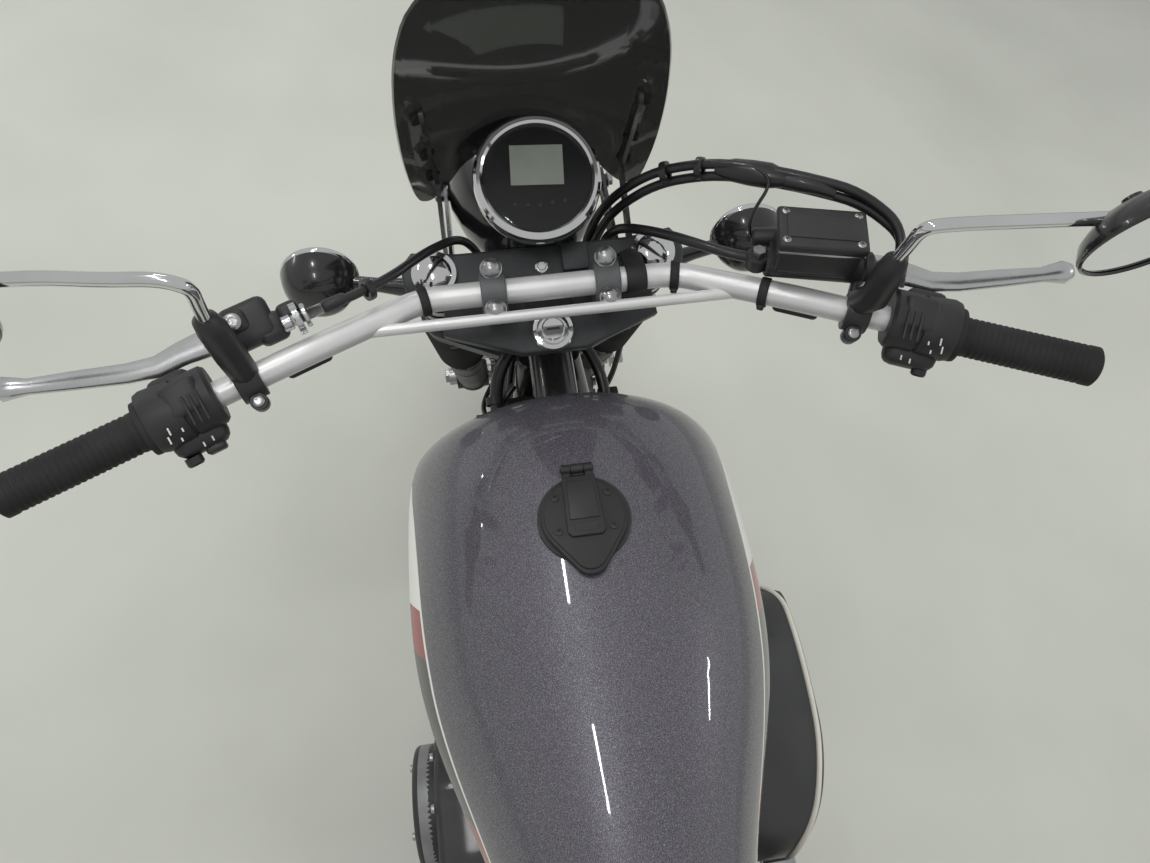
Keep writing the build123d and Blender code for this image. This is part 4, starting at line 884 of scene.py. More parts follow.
def dress_levers():
    """Hand levers, their perches, the clutch adjuster and the brake reservoir."""
    bm = bmesh.new()
    run = [(-4, 236, 774), (-8, 256, 775), (-13, 280, 776), (-21, 304, 777), (-29, 322, 778), (-32, 345, 779),
           (-33, 385, 780), (-34, 420, 781), (-34, 430, 782), (-34, 438, 782), (-34, 445, 782),
           (-34, 448, 782)]
    sizes = [(12, 5), (13, 5), (12, 5), (10, 4.6), (9, 4.4), (8.4, 4.2), (7.8, 4), (6.6, 4), (8.6, 6.4),
             (10, 8), (7, 6), (2, 2)]
    lofted(bm, run, sizes, 16)
    lofted(bm, run, sizes, 16, ACROSS)
    piece("lever_blades", bm, [bright_alloy], "steering", STEER, ["hand_levers"], 50)
    bm = bmesh.new()
    spot = on_bar(218)
    block(bm, (24, 19, 25), (30, 0, 4), 6, 3, spot)
    block(bm, (37, 21, 40), (40, 0, 18), 7, 3, spot)
    block(bm, (20, 27, 20), (44, 0, 26), 6, 3, spot)
    block(bm, (16, 15, 18), (36, -2, -14), 5, 3, spot)
    block(bm, (26, 15, 20), (21, 1, 0), 3, 2, on_bar(254))
    socket_bolt(bm, spot @ facing((44, -13.4, 28), (0, -1, 0)), 7, 3.4, 1)
    pull = facing((-6.5, 219, 781), (0.34, -0.92, -0.13))
    for low, high, wheel in ((-2, 6, 6.5), (8, 13.5, 12.5), (15.5, 19.5, 10)):
        edge = wheel - 0.8
        rim = [(0, low), (edge, low), (wheel, low + 0.8), (wheel, high - 0.8), (edge, high), (0, high)]
        spun(bm, rim, 24, pull, 4)
    spun(bm, [(0, 34), (3.6, 34), (4.4, 32), (4.8, 0), (0, 0)], 20, pull, 4)
    for turn in range(0, 360, 30):
        knurl = pull @ Matrix.Rotation(math.radians(turn), 4, "Z")
        block(bm, (1.6, 3.2, 5.2), (12.4, 0, 10.8), 0, 1, knurl, 4)
    spun(bm, [(0, 52), (4.3, 52), (5.2, 49), (5.6, 34), (4.4, 32), (0, 32)], 20, pull, 2)
    for place, way in ((on_bar(206), 1), (on_bar(206, -1), -1)):
        block(bm, (15, 9, 40), (-4, 15.5, 4), 4, 3, place)
    level = master_place()
    block(bm, (30, 54, 18), (23, 5, 28), 5, 3, level)
    block(bm, (41, 67, 24), (22, 0, 41), 4, 3, level)
    block(bm, (43.6, 69.6, 2.6), (22, 0, 54.2), 1, 2, level, 4)
    block(bm, (46, 73, 9), (22, 0, 59.8), 3.6, 3, level)
    block(bm, (27, 58, 1.6), (22, 0, 64.6), 0.7, 2, level)
    for x, y in ((6, 29.5), (38, 29.5), (38, -29.5), (6, -29.5)):
        screw(bm, level @ Matrix.Translation((x, y, 63.9)), 3.6, 1)
    spun(bm, [(0, 1.4), (5.4, 1.2), (6.6, 0)], 24, level @ facing((1.4, 10, 40), (-1, 0, 0)), 3)
    barrel = level @ facing((24, 0, 19), (0, 1, 0))
    wall = [(0, -38), (11.5, -38), (13, -36), (13, 42), (14.4, 44), (14.4, 50), (12, 52), (0, 52)]
    spun(bm, wall, 36, barrel)
    banjo = level @ Matrix.Translation((24, -45, 19))
    spun(bm, [(0, 7), (8.6, 7), (9.4, 6), (9.4, -6), (8.6, -7), (0, -7)], 26, banjo)
    spun(bm, [(0, 6), (5.6, 6), (5.6, 0)], 6, level @ Matrix.Translation((24, -45, 26)), 1)
    switch = level @ facing((47, -37, 24), (0, 1, 0.1))
    spun(bm, [(0, -13), (7, -13), (8.4, -11), (8.4, 9), (6, 11), (6, 16), (0, 16)], 26, switch)
    block(bm, (24, 16, 12), (36, -28, 22), 3, 2, level)
    block(bm, (26, 15, 20), (21, 1, 0), 3, 2, on_bar(254, -1))
    block(bm, (34, 24, 19), (30, 38, 18), 5, 3, level)
    socket_bolt(bm, level @ facing((42, 42, 27.6), (0, 0, 1)), 7, 3.4, 1)
    materials = [satin_black, steel, satin_black, window_glass, bright_alloy]
    piece("lever_mounts", bm, materials, "steering", STEER, ["lever_perches"], 34)
    bm = bmesh.new()
    lofted(bm, [(91, -152, 768), (86, -165, 774), (80, -178, 780), (74, -191, 786), (68, -203, 790)],
           [(6, 6), (10, 8), (11, 9), (11, 9), (7, 6)], 16)
    lofted(bm, [(68, -203, 790), (63, -215, 794), (57, -227, 797), (49, -240, 799)],
           [(7, 6), (8.4, 7), (7, 6), (5, 4.6)], 16)
    for centre, way in (((94, -139, 764), (-0.3, -0.8, 0.4)), ((99, -112, 748), (-0.1, -0.8, 0.5)),
                        ((20, 154, 760), (0.4, -0.8, -0.4))):
        spun(bm, [(6, -3), (9.4, -3), (9.8, 0), (9.4, 3), (6, 3)], 22, facing(centre, way))
    piece("cable_sleeves", bm, [cable_sleeve], "steering", STEER, sharp=50)
    start = level @ Vector((46, -50, 24))
    line("brake_switch_wire", [start, start + Vector((8, 10, 16)), (72, -196, 800), (84, -172, 784)], 1.5,
         cable_sleeve, "steering", STEER)


def dress_mirrors():
    """Mirrors on bent chrome stems that rise from boots on the bar."""
    routes = {
        1: [(-12, 257, 852), (-6, 254, 872), (-1, 251, 889), (1, 254, 898), (6, 270, 901), (8, 302, 903),
            (15, 350, 904), (15, 390, 905)],
        -1: [(-22, 258, 852), (-17, 258, 874), (-13, 258, 889), (-12, 262, 897), (-13, 280, 900),
             (-17, 330, 903), (-22, 395, 905)],
    }
    heads = bmesh.new()
    for side, route in routes.items():
        word = "left" if side > 0 else "right"
        route = route if side > 0 else mirrored(route)
        line(f"{word}_mirror_stem", route, 5.2, chrome, "steering", STEER)
        bm = bmesh.new()
        tip = -10.0 if side > 0 else -21.0
        run = [(-46, 254, 777), (-41, 254, 788), (tip - 21, 255, 811), (tip - 7, 257, 838),
               (tip - 2, 258, 849), (tip, 258, 853)]
        run = run if side > 0 else mirrored(run)
        lofted(bm, run, [(size, size) for size in (11, 11.6, 12.2, 11.6, 9.4, 5.4)], 24)
        base = on_bar(254, side)
        spun(bm, [(11, -10), (16.6, -10), (17, -9.4), (17, 9.4), (16.6, 10), (11, 10)], 40, base, 0, True)
        for reach in (-20, 20):
            boss = base @ facing((reach, 0, 0), (0, -1, 0))
            spun(bm, [(0, -9), (6.6, -9), (7, -8.4), (7, 8.4), (6.6, 9), (0, 9)], 26, boss)
            socket_bolt(bm, boss @ Matrix.Translation((0, 0, 9)), 4.6, 3, 1)
        stems = ["mirror_stems"] if side > 0 else []
        piece(f"{word}_mirror_boot", bm, [satin_black, steel], "steering", STEER, stems, 40)
        elbow = 14.0 if side > 0 else -20.0
        look = facing((elbow - 14, side * 425, 905), (-0.93, side * 0.08, 0.25))
        shell = [(0, -23), (20, -22), (38, -17.5), (50, -8), (54.5, 1), (54.5, 5), (52.5, 6), (51, 4)]
        spun(heads, shell, 64, look)
        spun(heads, [(0, 3.4), (51.2, 3.4), (51.2, 1)], 64, look, 1)
        knuckle = facing((elbow + 2, side * 418, 900), (0.9, -side * 0.2, -0.2))
        spun(heads, [(0, 14), (7, 13), (9, 6), (9, 0)], 24, knuckle)
    piece("mirror_pair", heads, [gloss_black, mirror_silver], "steering", STEER, ["mirror_heads"], 40)


def dress_gauge():
    """A round gauge: chrome bezel, black face, blank pale display."""
    place = STEER @ Matrix.Translation((108, 0, 698))
    bm = bmesh.new()
    cup = [(0, 0), (34, 0), (44, 4), (52, 14), (55, 24), (56.6, 29), (56.6, 33)]
    spun(bm, cup, 72)
    bezel = [(56.6, 32), (57, 34), (57, 42), (56, 45), (53.5, 47), (50.5, 47), (48.4, 45.2), (47.6, 42.6),
             (47.6, 41)]
    spun(bm, bezel, 96, Matrix(), 1)
    spun(bm, [(0, 41.2), (47.8, 41.2)], 72, Matrix(), 2)
    block(bm, (36, 47, 0.6), (12, 0, 41.4), 0.2, 1, Matrix.Rotation(math.radians(-4), 4, "Z"), 3)
    for y in (-22, -11, 0, 11, 22):
        spun(bm, [(0, 0.5), (1.7, 0.4), (2, 0)], 12, Matrix.Translation((-24 + abs(y) * 0.12, y, 41.2)), 4)
    materials = [gloss_black, chrome, gauge_face, display, gauge_lamp]
    piece("gauge_body", bm, materials, "steering", place, ["gauge"], 30)
    bm = bmesh.new()
    spun(bm, [(0, 44.6), (24, 44.3), (44, 43), (47.9, 42.2)], 72)
    piece("gauge_window", bm, [window_glass], "steering", place)


def dress_headlight():
    """Headlight shell with its chrome rim, reflector, bulb and fluted lens."""
    place = BIKE @ facing((1430, 0, 850), (1, 0, 0))
    bm = bmesh.new()
    shell = [(0, -74), (28, -72), (56, -55), (76, -24), (86, 6), (87.6, 24), (87.6, 38)]
    spun(bm, shell, 72)
    spun(bm, [(87.6, 36), (88, 38), (88, 45), (86, 50), (82.5, 52), (80, 50), (80, 44)], 96, Matrix(), 1)
    spun(bm, [(80, 44), (72, 26), (52, 4), (26, -8), (12, -10)], 72, Matrix(), 2)
    spun(bm, [(12, -10), (12, 14), (10, 18), (0, 19)], 32, Matrix(), 1)
    piece("headlight_shell", bm, [gloss_black, chrome, reflector], "steering", place, ["headlight_bowl"], 32)
    bm = bmesh.new()
    spun(bm, [(0, 58.5), (24, 57.5), (46, 54.5), (66, 50.5), (80.5, 47), (80.5, 45), (66, 48), (0, 56)], 96)
    piece("headlight_glass", bm, [fluted_glass], "steering", place, ["headlight_lens"], 60)
    bm = bmesh.new()
    for side in (-1, 1):
        hex_bolt(bm, facing((1452, side * 97, 850), (0, side, 0)), 6.5, 5)
    piece("headlight_bolts", bm, [steel], "steering", BIKE)


# Wheels

# Rows of tread blocks: turn round the casing, length, width and lag, as a share of the pitch
FRONT_ROWS = [(0, 21, 17, 0.0), (0, 15, 9, 0.5), (26, 22, 15, 0.25), (49, 20, 15, 0.6), (68, 15, 8, 0.1)]
REAR_ROWS = [(0, 24, 24, 0.0), (0, 16, 12, 0.5), (24, 24, 20, 0.3), (46, 22, 20, 0.65), (66, 17, 11, 0.15)]


def dress_tyre(name, radius, width, rim_radius, rim_width, centre, pitches, rows, body):
    """A casing with ribbed side walls and rows of tread blocks that stand on it."""
    bm = bmesh.new()
    crown = 0.52 * width
    casing = crown - 5.5
    middle = radius - crown
    bead = rim_width / 2 - 6.5
    half = arc((middle, 0), casing, 0, 72, 8)
    low_radius, low_half = rim_radius + 26.0, bead + 10.0
    edge_radius, edge_half = half[-1]
    down, inward = low_radius - edge_radius, low_half - edge_half
    ribs = ((0.2, 1.2), (0.28, 2.2), (0.34, 1.4), (0.62, 1.4), (0.66, 2.4), (0.72, 1.2), (0.9, 0.4))
    for share, out in ribs:
        half.append((edge_radius + share * down, edge_half + share * inward + out))
    half += [(low_radius, low_half), (rim_radius + 17.0, bead + 3.0), (rim_radius + 12.2, bead)]
    half.append((rim_radius + 0.5, bead - 0.5))
    spun(bm, [(r, -h) for r, h in reversed(half[1:])] + half, 120, closed=True)
    mark = tagged(bm)
    for turn, length, across, lag in rows:
        for side in ((1,) if turn == 0 else (1, -1)):
            lean = math.radians(side * turn)
            spot = Vector((middle, 0, 0)) + Vector((math.cos(lean), 0.0, math.sin(lean))) * (casing + 1.6)
            late = math.tau / pitches * (lag if side > 0 else lag + 0.5)
            here = Matrix.Rotation(late, 4, "Z") @ Matrix.Translation(spot) @ Matrix.Rotation(-lean, 4, "Y")
            block(bm, (7.4, length, across), (0, 0, 0), 1.3, 1, here @ Matrix.Rotation(0.4 * lean, 4, "X"))
    verts = [vert for vert in bm.verts if vert not in mark[0]]
    faces = [face for face in bm.faces if face not in mark[1]]
    edges = each_once(edge for face in faces for edge in face.edges)
    bmesh.ops.spin(
        bm, geom=verts + edges + faces, cent=(0, 0, 0), axis=(0, 0, 1), steps=pitches - 1,
        angle=math.tau * (pitches - 1) / pitches, use_duplicate=True,
    )
    bm.transform(Matrix.Translation(centre) @ LEFTWARD)
    piece(name, bm, [tyre_rubber], body, instead=(body.replace("wheel", "tyre"),))


def dress_wheel(name, rim_radius, rim_width, flange_half, flange_radius, centre, body):
    """Nipples, spoke heads and the valve stem of a laced wheel."""
    bm = bmesh.new()
    place = Matrix.Translation(centre) @ LEFTWARD
    spokes = 36
    for i, (x, y) in enumerate(circle_of(spokes, rim_radius - 9.0)):
        side, lead = (1 if i % 2 else -1), (1 if (i // 2) % 2 else -1)
        hub_angle = math.radians(360.0 / spokes * i + lead * 50.0)
        hub_reach = flange_radius - 5.0
        hub_x, hub_y = hub_reach * math.cos(hub_angle), hub_reach * math.sin(hub_angle)
        start = Vector((hub_x, hub_y, side * (flange_half + 2.5)))
        end = Vector((x, y, side * rim_width * 0.125))
        way = (end - start).normalized()
        nipple = [(2.3, 0), (3.1, 1), (3.1, 11), (4.2, 13), (4.2, 20), (2.0, 20)]
        spun(bm, nipple, 8, place @ facing(end - way * 23.0, way))
        spun(bm, [(0, -3), (4.2, -3), (4.2, 3), (0, 3)], 8, place @ facing(start))
    stem = place @ facing((rim_radius - 8, 0, 0), (1, 0, 0)) @ Matrix.Rotation(math.radians(5), 4, "X")
    spun(bm, [(0, -34), (2.6, -34), (2.6, -27), (3.4, -27), (3.4, 0), (0, 0)], 12, stem, 1)
    piece(name, bm, [nipple_steel, moulded], body)


def dress_hub_bolts():
    """Disc bolts of both wheels, and the rear pulley's bolts and teeth."""
    for name, body, centre, seat in (
        ("front_disc_bolts", "front_wheel", FRONT_AXLE, -63.0),
        ("rear_disc_bolts", "rear_wheel", REAR_AXLE, -83.0),
    ):
        bm = bmesh.new()
        hub = Matrix.Translation(centre) @ LEFTWARD
        for x, y in circle_of(6, 38.0):
            socket_bolt(bm, hub @ facing((x, y, seat), (0, 0, -1)), 5.5, 4.5)
        piece(name, bm, [steel], body)
    bm = bmesh.new()
    hub = Matrix.Translation(REAR_AXLE) @ LEFTWARD
    for x, y in circle_of(5, 62.0, 36.0):
        hex_bolt(bm, hub @ facing((x, y, 86.0)), 7.0, 5.0)
    teeth = 70
    for i in range(teeth):
        turn = Matrix.Rotation(math.tau * i / teeth, 4, "Z")
        block(bm, (3.4, 5.0, 22.0), (105.4, 0, 93.0), 0.7, 1, hub @ turn, 1)
    piece("pulley_teeth", bm, [steel, satin_black], "rear_wheel")


# Fly screen, signals and fork


def rounded(points, passes=3):
    """Cuts the corners of a closed outline until they run round."""
    for _ in range(passes):
        cut = []
        for (ax, ay), (bx, by) in zip(points, points[1:] + points[:1]):
            for near, far in ((0.78, 0.22), (0.22, 0.78)):
                cut.append((near * ax + far * bx, near * ay + far * by))
        points = cut
    return points


def dress_screen():
    """The smoked screen, its dark tint partly painted shade, bowed round the lamp, with its stays' fixings."""
    half = [(0, 640), (58, 634), (86, 584), (104, 573), (117, 600), (118, 700), (113, 790), (103, 865),
            (86, 915), (46, 937), (0, 942)]
    outline = rounded(half + [(-y, w) for y, w in reversed(half[1:-1])], 2)
    bm = bmesh.new()
    bm.faces.new([bm.verts.new((0.0, y, w)) for y, w in outline])
    for y in range(-112, 113, 8):
        parts = bm.verts[:] + bm.edges[:] + bm.faces[:]
        bmesh.ops.bisect_plane(bm, geom=parts, plane_co=(0, y, 0), plane_no=(0, 1, 0))
    bow, middle = 204.5, -21.0
    for vert in bm.verts:
        vert.co.x = middle + math.sqrt(bow * bow - vert.co.y ** 2)
    bmesh.ops.recalc_face_normals(bm, faces=bm.faces)
    bmesh.ops.solidify(bm, geom=bm.faces[:], thickness=2.6)
    piece("smoked_screen", bm, [screen_smoke], "steering", STEER, ("fly_screen",), sharp=30)
    bm = bmesh.new()
    for side in (1, -1):
        for w in (648.0, 700.0, 775.0):
            place = facing((156.0, side * 96.0, w), (0.88, side * 0.47, 0))
            spun(bm, [(0, 3.5), (4, 3.3), (7, 1.5), (7.5, 0), (7.5, -3), (0, -3)], 20, place)
            spun(bm, [(0, 4.2), (2.4, 4.2), (2.4, 3.0)], 12, place, 1)
    piece("screen_fixings", bm, [rubber, steel], "steering", STEER)


def signal_at(bm, centre, way):
    """A bowl-shaped direction light; its lens looks along a way."""
    place = facing(centre, way)
    shell = [(0, -28), (12, -27.6), (21, -25), (28.5, -18.5), (34, -9), (37, 0), (38.2, 8), (38.2, 12),
             (35.6, 14), (33, 11)]
    spun(bm, shell, 48, place)
    spun(bm, [(38.2, 7.6), (38.9, 8.6), (38.9, 12.4), (37.6, 14.6), (35.6, 14.2)], 48, place, 2)
    lens = [(35.2, 12.5), (34.6, 14.6)]
    for i in range(5):
        lens += [(32.5 - 5.8 * i, 16.6 + 2.0 * i), (30.6 - 5.8 * i, 17.0 + 2.0 * i)]
    spun(bm, lens + [(0, 26.6)], 48, place, 1)
    spun(bm, [(0, 13.5), (5, 12), (6, 6), (6, -2), (33, 0)], 20, place, 3)


def dress_signals():
    """Four direction lights on their stalks, the front ones clamped to the fork."""
    materials = [gloss_black, amber_glass, chrome, reflector, steel]
    bm = bmesh.new()
    for side in (1, -1):
        spots = ((53, 124), (68, 200), (68, 223))
        root, end, light = (ON_BIKE @ Vector((e, side * y, 610.0)) for e, y in spots)
        signal_at(bm, light, (1, 0, 0))
        stalk = [root, root.lerp(end, 0.3), root.lerp(end, 0.5), end]
        lofted(bm, stalk, [(size, size) for size in (11, 9, 7.5, 7.5)], 16)
        band = ON_BIKE @ facing((43.0, side * FORK_HALF, 609.0))
        spun(bm, [(20.7, -11), (25.4, -11), (26, -10), (26, 10), (25.4, 11), (20.7, 11)], 40, band)
        socket_bolt(bm, band @ facing((-26, 0, 0), (-1, 0, 0)), 4.5, 4, 4)
    piece("front_signal_lights", bm, materials, "steering", BIKE, ("front_signals",))
    bm = bmesh.new()
    for side in (1, -1):
        signal_at(bm, Vector((-215.2, side * 142.0, 673.5)), (-1, 0, 0))
        stalk = [Vector((-215.2, side * y, 673.5)) for y in (40, 60, 120)]
        lofted(bm, stalk, [(size, size) for size in (11, 8, 7.5)], 16)
    piece("rear_signal_lights", bm, materials[:-1], "chassis", BIKE, ("rear_signals",))


def dress_fork():
    """Bands on the gaiters, pinch bolts, axle nut, ear bolts and the caliper's fasteners."""
    bm = bmesh.new()
    for side in (1, -1):
        e, y = FORK_OFFSET, side * FORK_HALF
        leg = Matrix.Translation((e, y, 0))
        for low in (301.0, 490.0):
            spun(bm, [(28.4, low), (29.6, low), (29.6, low + 7), (28.4, low + 7)], 40, leg, 1)
            block(bm, (8, 9, 9), (0, 0, 0), 1, 1, facing((e - 31, y, low + 3.5)), 1)
        for w in (240.0, 175.0):
            spun(bm, [(27.1, w), (27.8, w + 1), (27.8, w + 3), (27.1, w + 4)], 40, leg)
        spun(bm, [(27.2, -8), (28.6, -7), (28.6, 6), (27.2, 7)], 40, leg)
        hex_bolt(bm, facing((e, y, -12), (0, 0, -1)), 9, 5, 2)
        for w in (-12.0, 12.0):
            socket_bolt(bm, facing((e + 27, y, w), (1, 0, 0)), 4.5, 4.5, 2)
        hex_bolt(bm, facing((e, side * 141.0, 0), (0, side, 0)), 11.5, 7, 2)
        for w in (265.0, 290.0):
            hex_bolt(bm, facing((e - 15, side * 62.0, w), (-1, 0, 0)), 5.5, 3.5, 2)
        for w in (508.0, 524.0):
            socket_bolt(bm, facing((e - 31, y - side * 8, w), (-1, 0, 0)), 5, 4, 2)
    nut = facing((FORK_OFFSET, -150, 0), (0, -1, 0))
    spun(bm, [(0, 14), (9, 14), (9.6, 13), (9.6, 4), (8.5, 3), (0, 3)], 24, nut, 2)
    for e, w in ((-20, 58), (-4, 82)):
        hex_bolt(bm, facing((e, -97, w), (0, -1, 0)), 7.5, 5, 2)
    for e, w in ((-92, 40), (-56, 98)):
        socket_bolt(bm, facing((e, -88.5, w), (0, -1, 0)), 6.5, 3, 2)
    banjo = facing((-38, -93, 108), (0, -1, 0.3))
    spun(bm, [(0, 10), (7, 10), (7, 7), (10, 6), (10, 0), (0, 0)], 20, banjo, 2)
    piece("fork_fittings", bm, [satin_black, moulded, steel], "steering", STEER)


# Engine


def cylinder_place(lean):
    """A place whose Z runs up a cylinder that leans ahead by so many degrees."""
    return Matrix.Translation(CRANK) @ Matrix.Rotation(math.radians(lean), 4, "Y")


def dress_cylinders():
    """Rocker covers with their bolts, plugs, leads and the flanges where the pipes join."""
    bm = bmesh.new()
    for lean in (CYLINDER_LEAN, -CYLINDER_LEAN):
        place = cylinder_place(lean)
        rocker = rounded([(-56, -66), (56, -66), (56, 66), (-56, 66)], 3)
        slab(bm, [(1.02 * x, 1.02 * y) for x, y in rocker], 320.0, 328.0, 1.2, 2, place)
        slab(bm, [(0.84 * x, 0.84 * y) for x, y in rocker], 348.0, 354.5, 2.5, 3, place)
        for x, y in ((-44, -54), (44, -54), (44, 54), (-44, 54), (0, -58), (0, 58)):
            boss = [(0, 353), (6.5, 353), (8, 351), (9, 340), (9, 326), (0, 326)]
            spun(bm, boss, 20, place @ Matrix.Translation((x, y, 0)))
            socket_bolt(bm, place @ facing((x, y, 353)), 5, 4, 1)
        for side in (-1, 1):
            plug = [(0, 0), (9, 0), (9, 8), (7, 10), (7, 22), (10, 24), (11, 30), (11, 52), (8, 56), (5, 64),
                    (0, 65)]
            spun(bm, plug, 20, place @ facing((0, side * 72.0, 286.0), (0, side, 0.35)), 2)
        for y in (-62, 62):
            for x in (-60, 60):
                spun(bm, [(0, 262), (7, 262), (7, 256), (8.5, 255), (8.5, 248), (0, 248)], 16,
                     place @ Matrix.Translation((x, y, 0)), 1)
    for start, way in (((1018, -16, 606), (0.8, -0.2, -0.55)), ((652, -64, 641), (0, -1, 0))):
        place = facing(start, way)
        spun(bm, [(22, 0), (30, 0), (32, 2), (32, 10), (30, 12), (22, 12)], 36, place, 1)
        for turn in (30, 210):
            reach = Matrix.Rotation(math.radians(turn), 4, "Z") @ Matrix.Translation((33, 0, 0))
            slab(bm, rounded([(-14, -11), (10, -9), (10, 9), (-14, 11)], 2), 1, 9, 0.8, 1, place @ reach, 1)
            hex_bolt(bm, place @ reach @ Matrix.Translation((2, 0, 9)), 5.5, 5, 1)
    piece("rocker_covers", bm, [engine_black, steel, moulded], "chassis")
    for side, name in ((1, "left"), (-1, "right")):
        for lean, end in ((CYLINDER_LEAN, "front"), (-CYLINDER_LEAN, "rear")):
            start = cylinder_place(lean) @ Vector((0, side * 132.0, 308.0))
            bend = start + Vector((0, side * 6.0, 40.0))
            top = Vector((CRANK.x + 2.0 * lean, side * 70.0, 700))
            lead = [start, bend, top + Vector((0, side * 22.0, -30)), top]
            line(f"{name}_{end}_plug_lead", lead, 3.6, cable_sleeve, "chassis")


def hull_points(first, second, inset, count):
    """Spots round two circles given as (x, z, radius), wrapped by one outline and set in from it."""
    (ax, az, ar), (bx, bz, br) = first, second
    gap = math.hypot(bx - ax, bz - az)
    heading = math.atan2(bz - az, bx - ax)
    open_turn = math.acos((ar - br) / gap)
    points = []
    for (x, z, r), start, end in (
        (first, heading + open_turn, heading + math.tau - open_turn),
        (second, heading - open_turn, heading + open_turn),
    ):
        points += arc((x, z), r - inset, math.degrees(start), math.degrees(end), count - 1)
    return points


def side_place(y, side):
    """A place whose Z looks out of the left (1) or right (-1) side, its X ahead and its Y down or up."""
    return Matrix.Translation((0, y, 0)) @ (LEFTWARD if side > 0 else RIGHTWARD)


def side_outline(points, side):
    """(x, z) points as a side place takes them."""
    return [(x, -side * z) for x, z in points]


def dress_covers():
    """Rims, domes, bolts and inspection caps on both crankcase covers."""
    bm = bmesh.new()
    left = ((880, 375, 100), (708, 365, 78))
    right = ((850, 370, 92), (715, 362, 80))
    for side, circles, y in ((1, left, 188.0), (-1, right, -146.0)):
        place = side_place(y, side)
        slab(bm, side_outline(hull_points(*circles, 0.4, 24), side), -46, -34, 1.5, 2, place)
        for x, depth in side_outline(hull_points(*circles, 11.0, 6), side):
            boss = place @ Matrix.Translation((x, depth, 0))
            spun(bm, [(0, 1), (8.5, 1), (9.5, -1), (10, -34), (0, -34)], 20, boss)
            socket_bolt(bm, boss @ Matrix.Translation((0, 0, 1)), 5.5, 4.5, 1)
    cap = side_place(218.0, 1) @ Matrix.Translation((880, -375, 0))
    dome = [(73.8, -28), (74.3, -8), (72, -2.5), (68, -0.5), (62, 0.4), (60, -1.6), (57, -1.6), (55, 0.6),
            (30, 2.2), (0, 2.8)]
    spun(bm, dome, 72, cap, 2)
    for x, y in circle_of(5, 65, 18):
        socket_bolt(bm, cap @ facing((x, y, -0.2)), 4.6, 3.6, 1)
    cover = side_place(-160.0, -1) @ Matrix.Translation((715, 362, 0))
    dish = [(60.2, -14), (60.4, -4), (58, -1), (52, 0.6), (49, -1), (46, -1), (44, 0.8), (20, 1.8), (0, 2)]
    spun(bm, dish, 64, cover, 2)
    for x, y in circle_of(3, 54.5, 30):
        socket_bolt(bm, cover @ facing((x, y, 0)), 4.6, 3.6, 1)
    filler = side_place(-146.0, -1) @ Matrix.Translation((905, 330, 0))
    spun(bm, [(0, 9), (14, 9), (15, 8), (15, 4), (17, 3), (17, 0), (0, 0)], 30, filler)
    plug = side_place(188.0, 1) @ Matrix.Translation((700, -330, 0))
    spun(bm, [(0, 3), (17, 3), (19, 2), (19, 0), (0, 0)], 30, plug, 1)
    piece("engine_cover_trim", bm, [engine_black, steel, cast_alloy], "chassis")


def cleaner_face(x):
    """The y of the cover's face: flat in the middle, turned in at the rear and chamfered at the front."""
    if x < 874.0:
        share = min(1.0, (874.0 - x) / 139.0)
        return -228.0 + 78.0 * (1.0 - math.sqrt(1.0 - share * share))
    return -228.0 + max(0.0, x - 1003.0) * 26.0 / 19.0


def dress_air_cleaner():
    """The shield-shaped cover on the right, with its pale bead and screws."""
    shield = [(1010, 652), (1017, 598), (1000, 524), (948, 492), (884, 489), (806, 492), (756, 536),
              (748, 590), (778, 632), (858, 655), (945, 668)]
    back, depth = -122.0, 104.0
    bm = bmesh.new()
    slab(bm, rounded(shield, 3), 0, depth, 6.0, 4, side_place(back, -1))
    bmesh.ops.triangulate(bm, faces=[face for face in bm.faces if len(face.verts) > 4])
    face_edges = [edge for edge in bm.edges if all(vert.co.y < -220 for vert in edge.verts)]
    bmesh.ops.subdivide_edges(bm, edges=face_edges, cuts=7, use_grid_fill=True)
    for vert in bm.verts:
        share = (back - vert.co.y) / depth
        crown = 2.0 * max(0.0, 1.0 - ((vert.co.x - 890.0) / 120.0) ** 2 - ((vert.co.z - 575.0) / 80.0) ** 2)
        vert.co.y = back + (cleaner_face(vert.co.x) - back + 2.0 - crown) * share
    for x, z in ((990, 612), (795, 560), (930, 512)):
        slope = -0.45 if x < 874 else 0
        screw(bm, facing((x, cleaner_face(x) + 1.6, z), (slope, -1, 0)), 5.5, 1)
    cover = [air_cover_grey, steel, satin_black]
    piece("air_cleaner_cover", bm, cover, "chassis", BIKE, ("air_cleaner",))
    wider = [(890 + 1.004 * (x - 890), z) for x, z in shield]
    bead = [(x, cleaner_face(x) + 7.0, z) for x, z in rounded(wider, 1)]
    line("air_cleaner_bead", bead + [bead[0]], 2.8, trim_cream, "chassis")


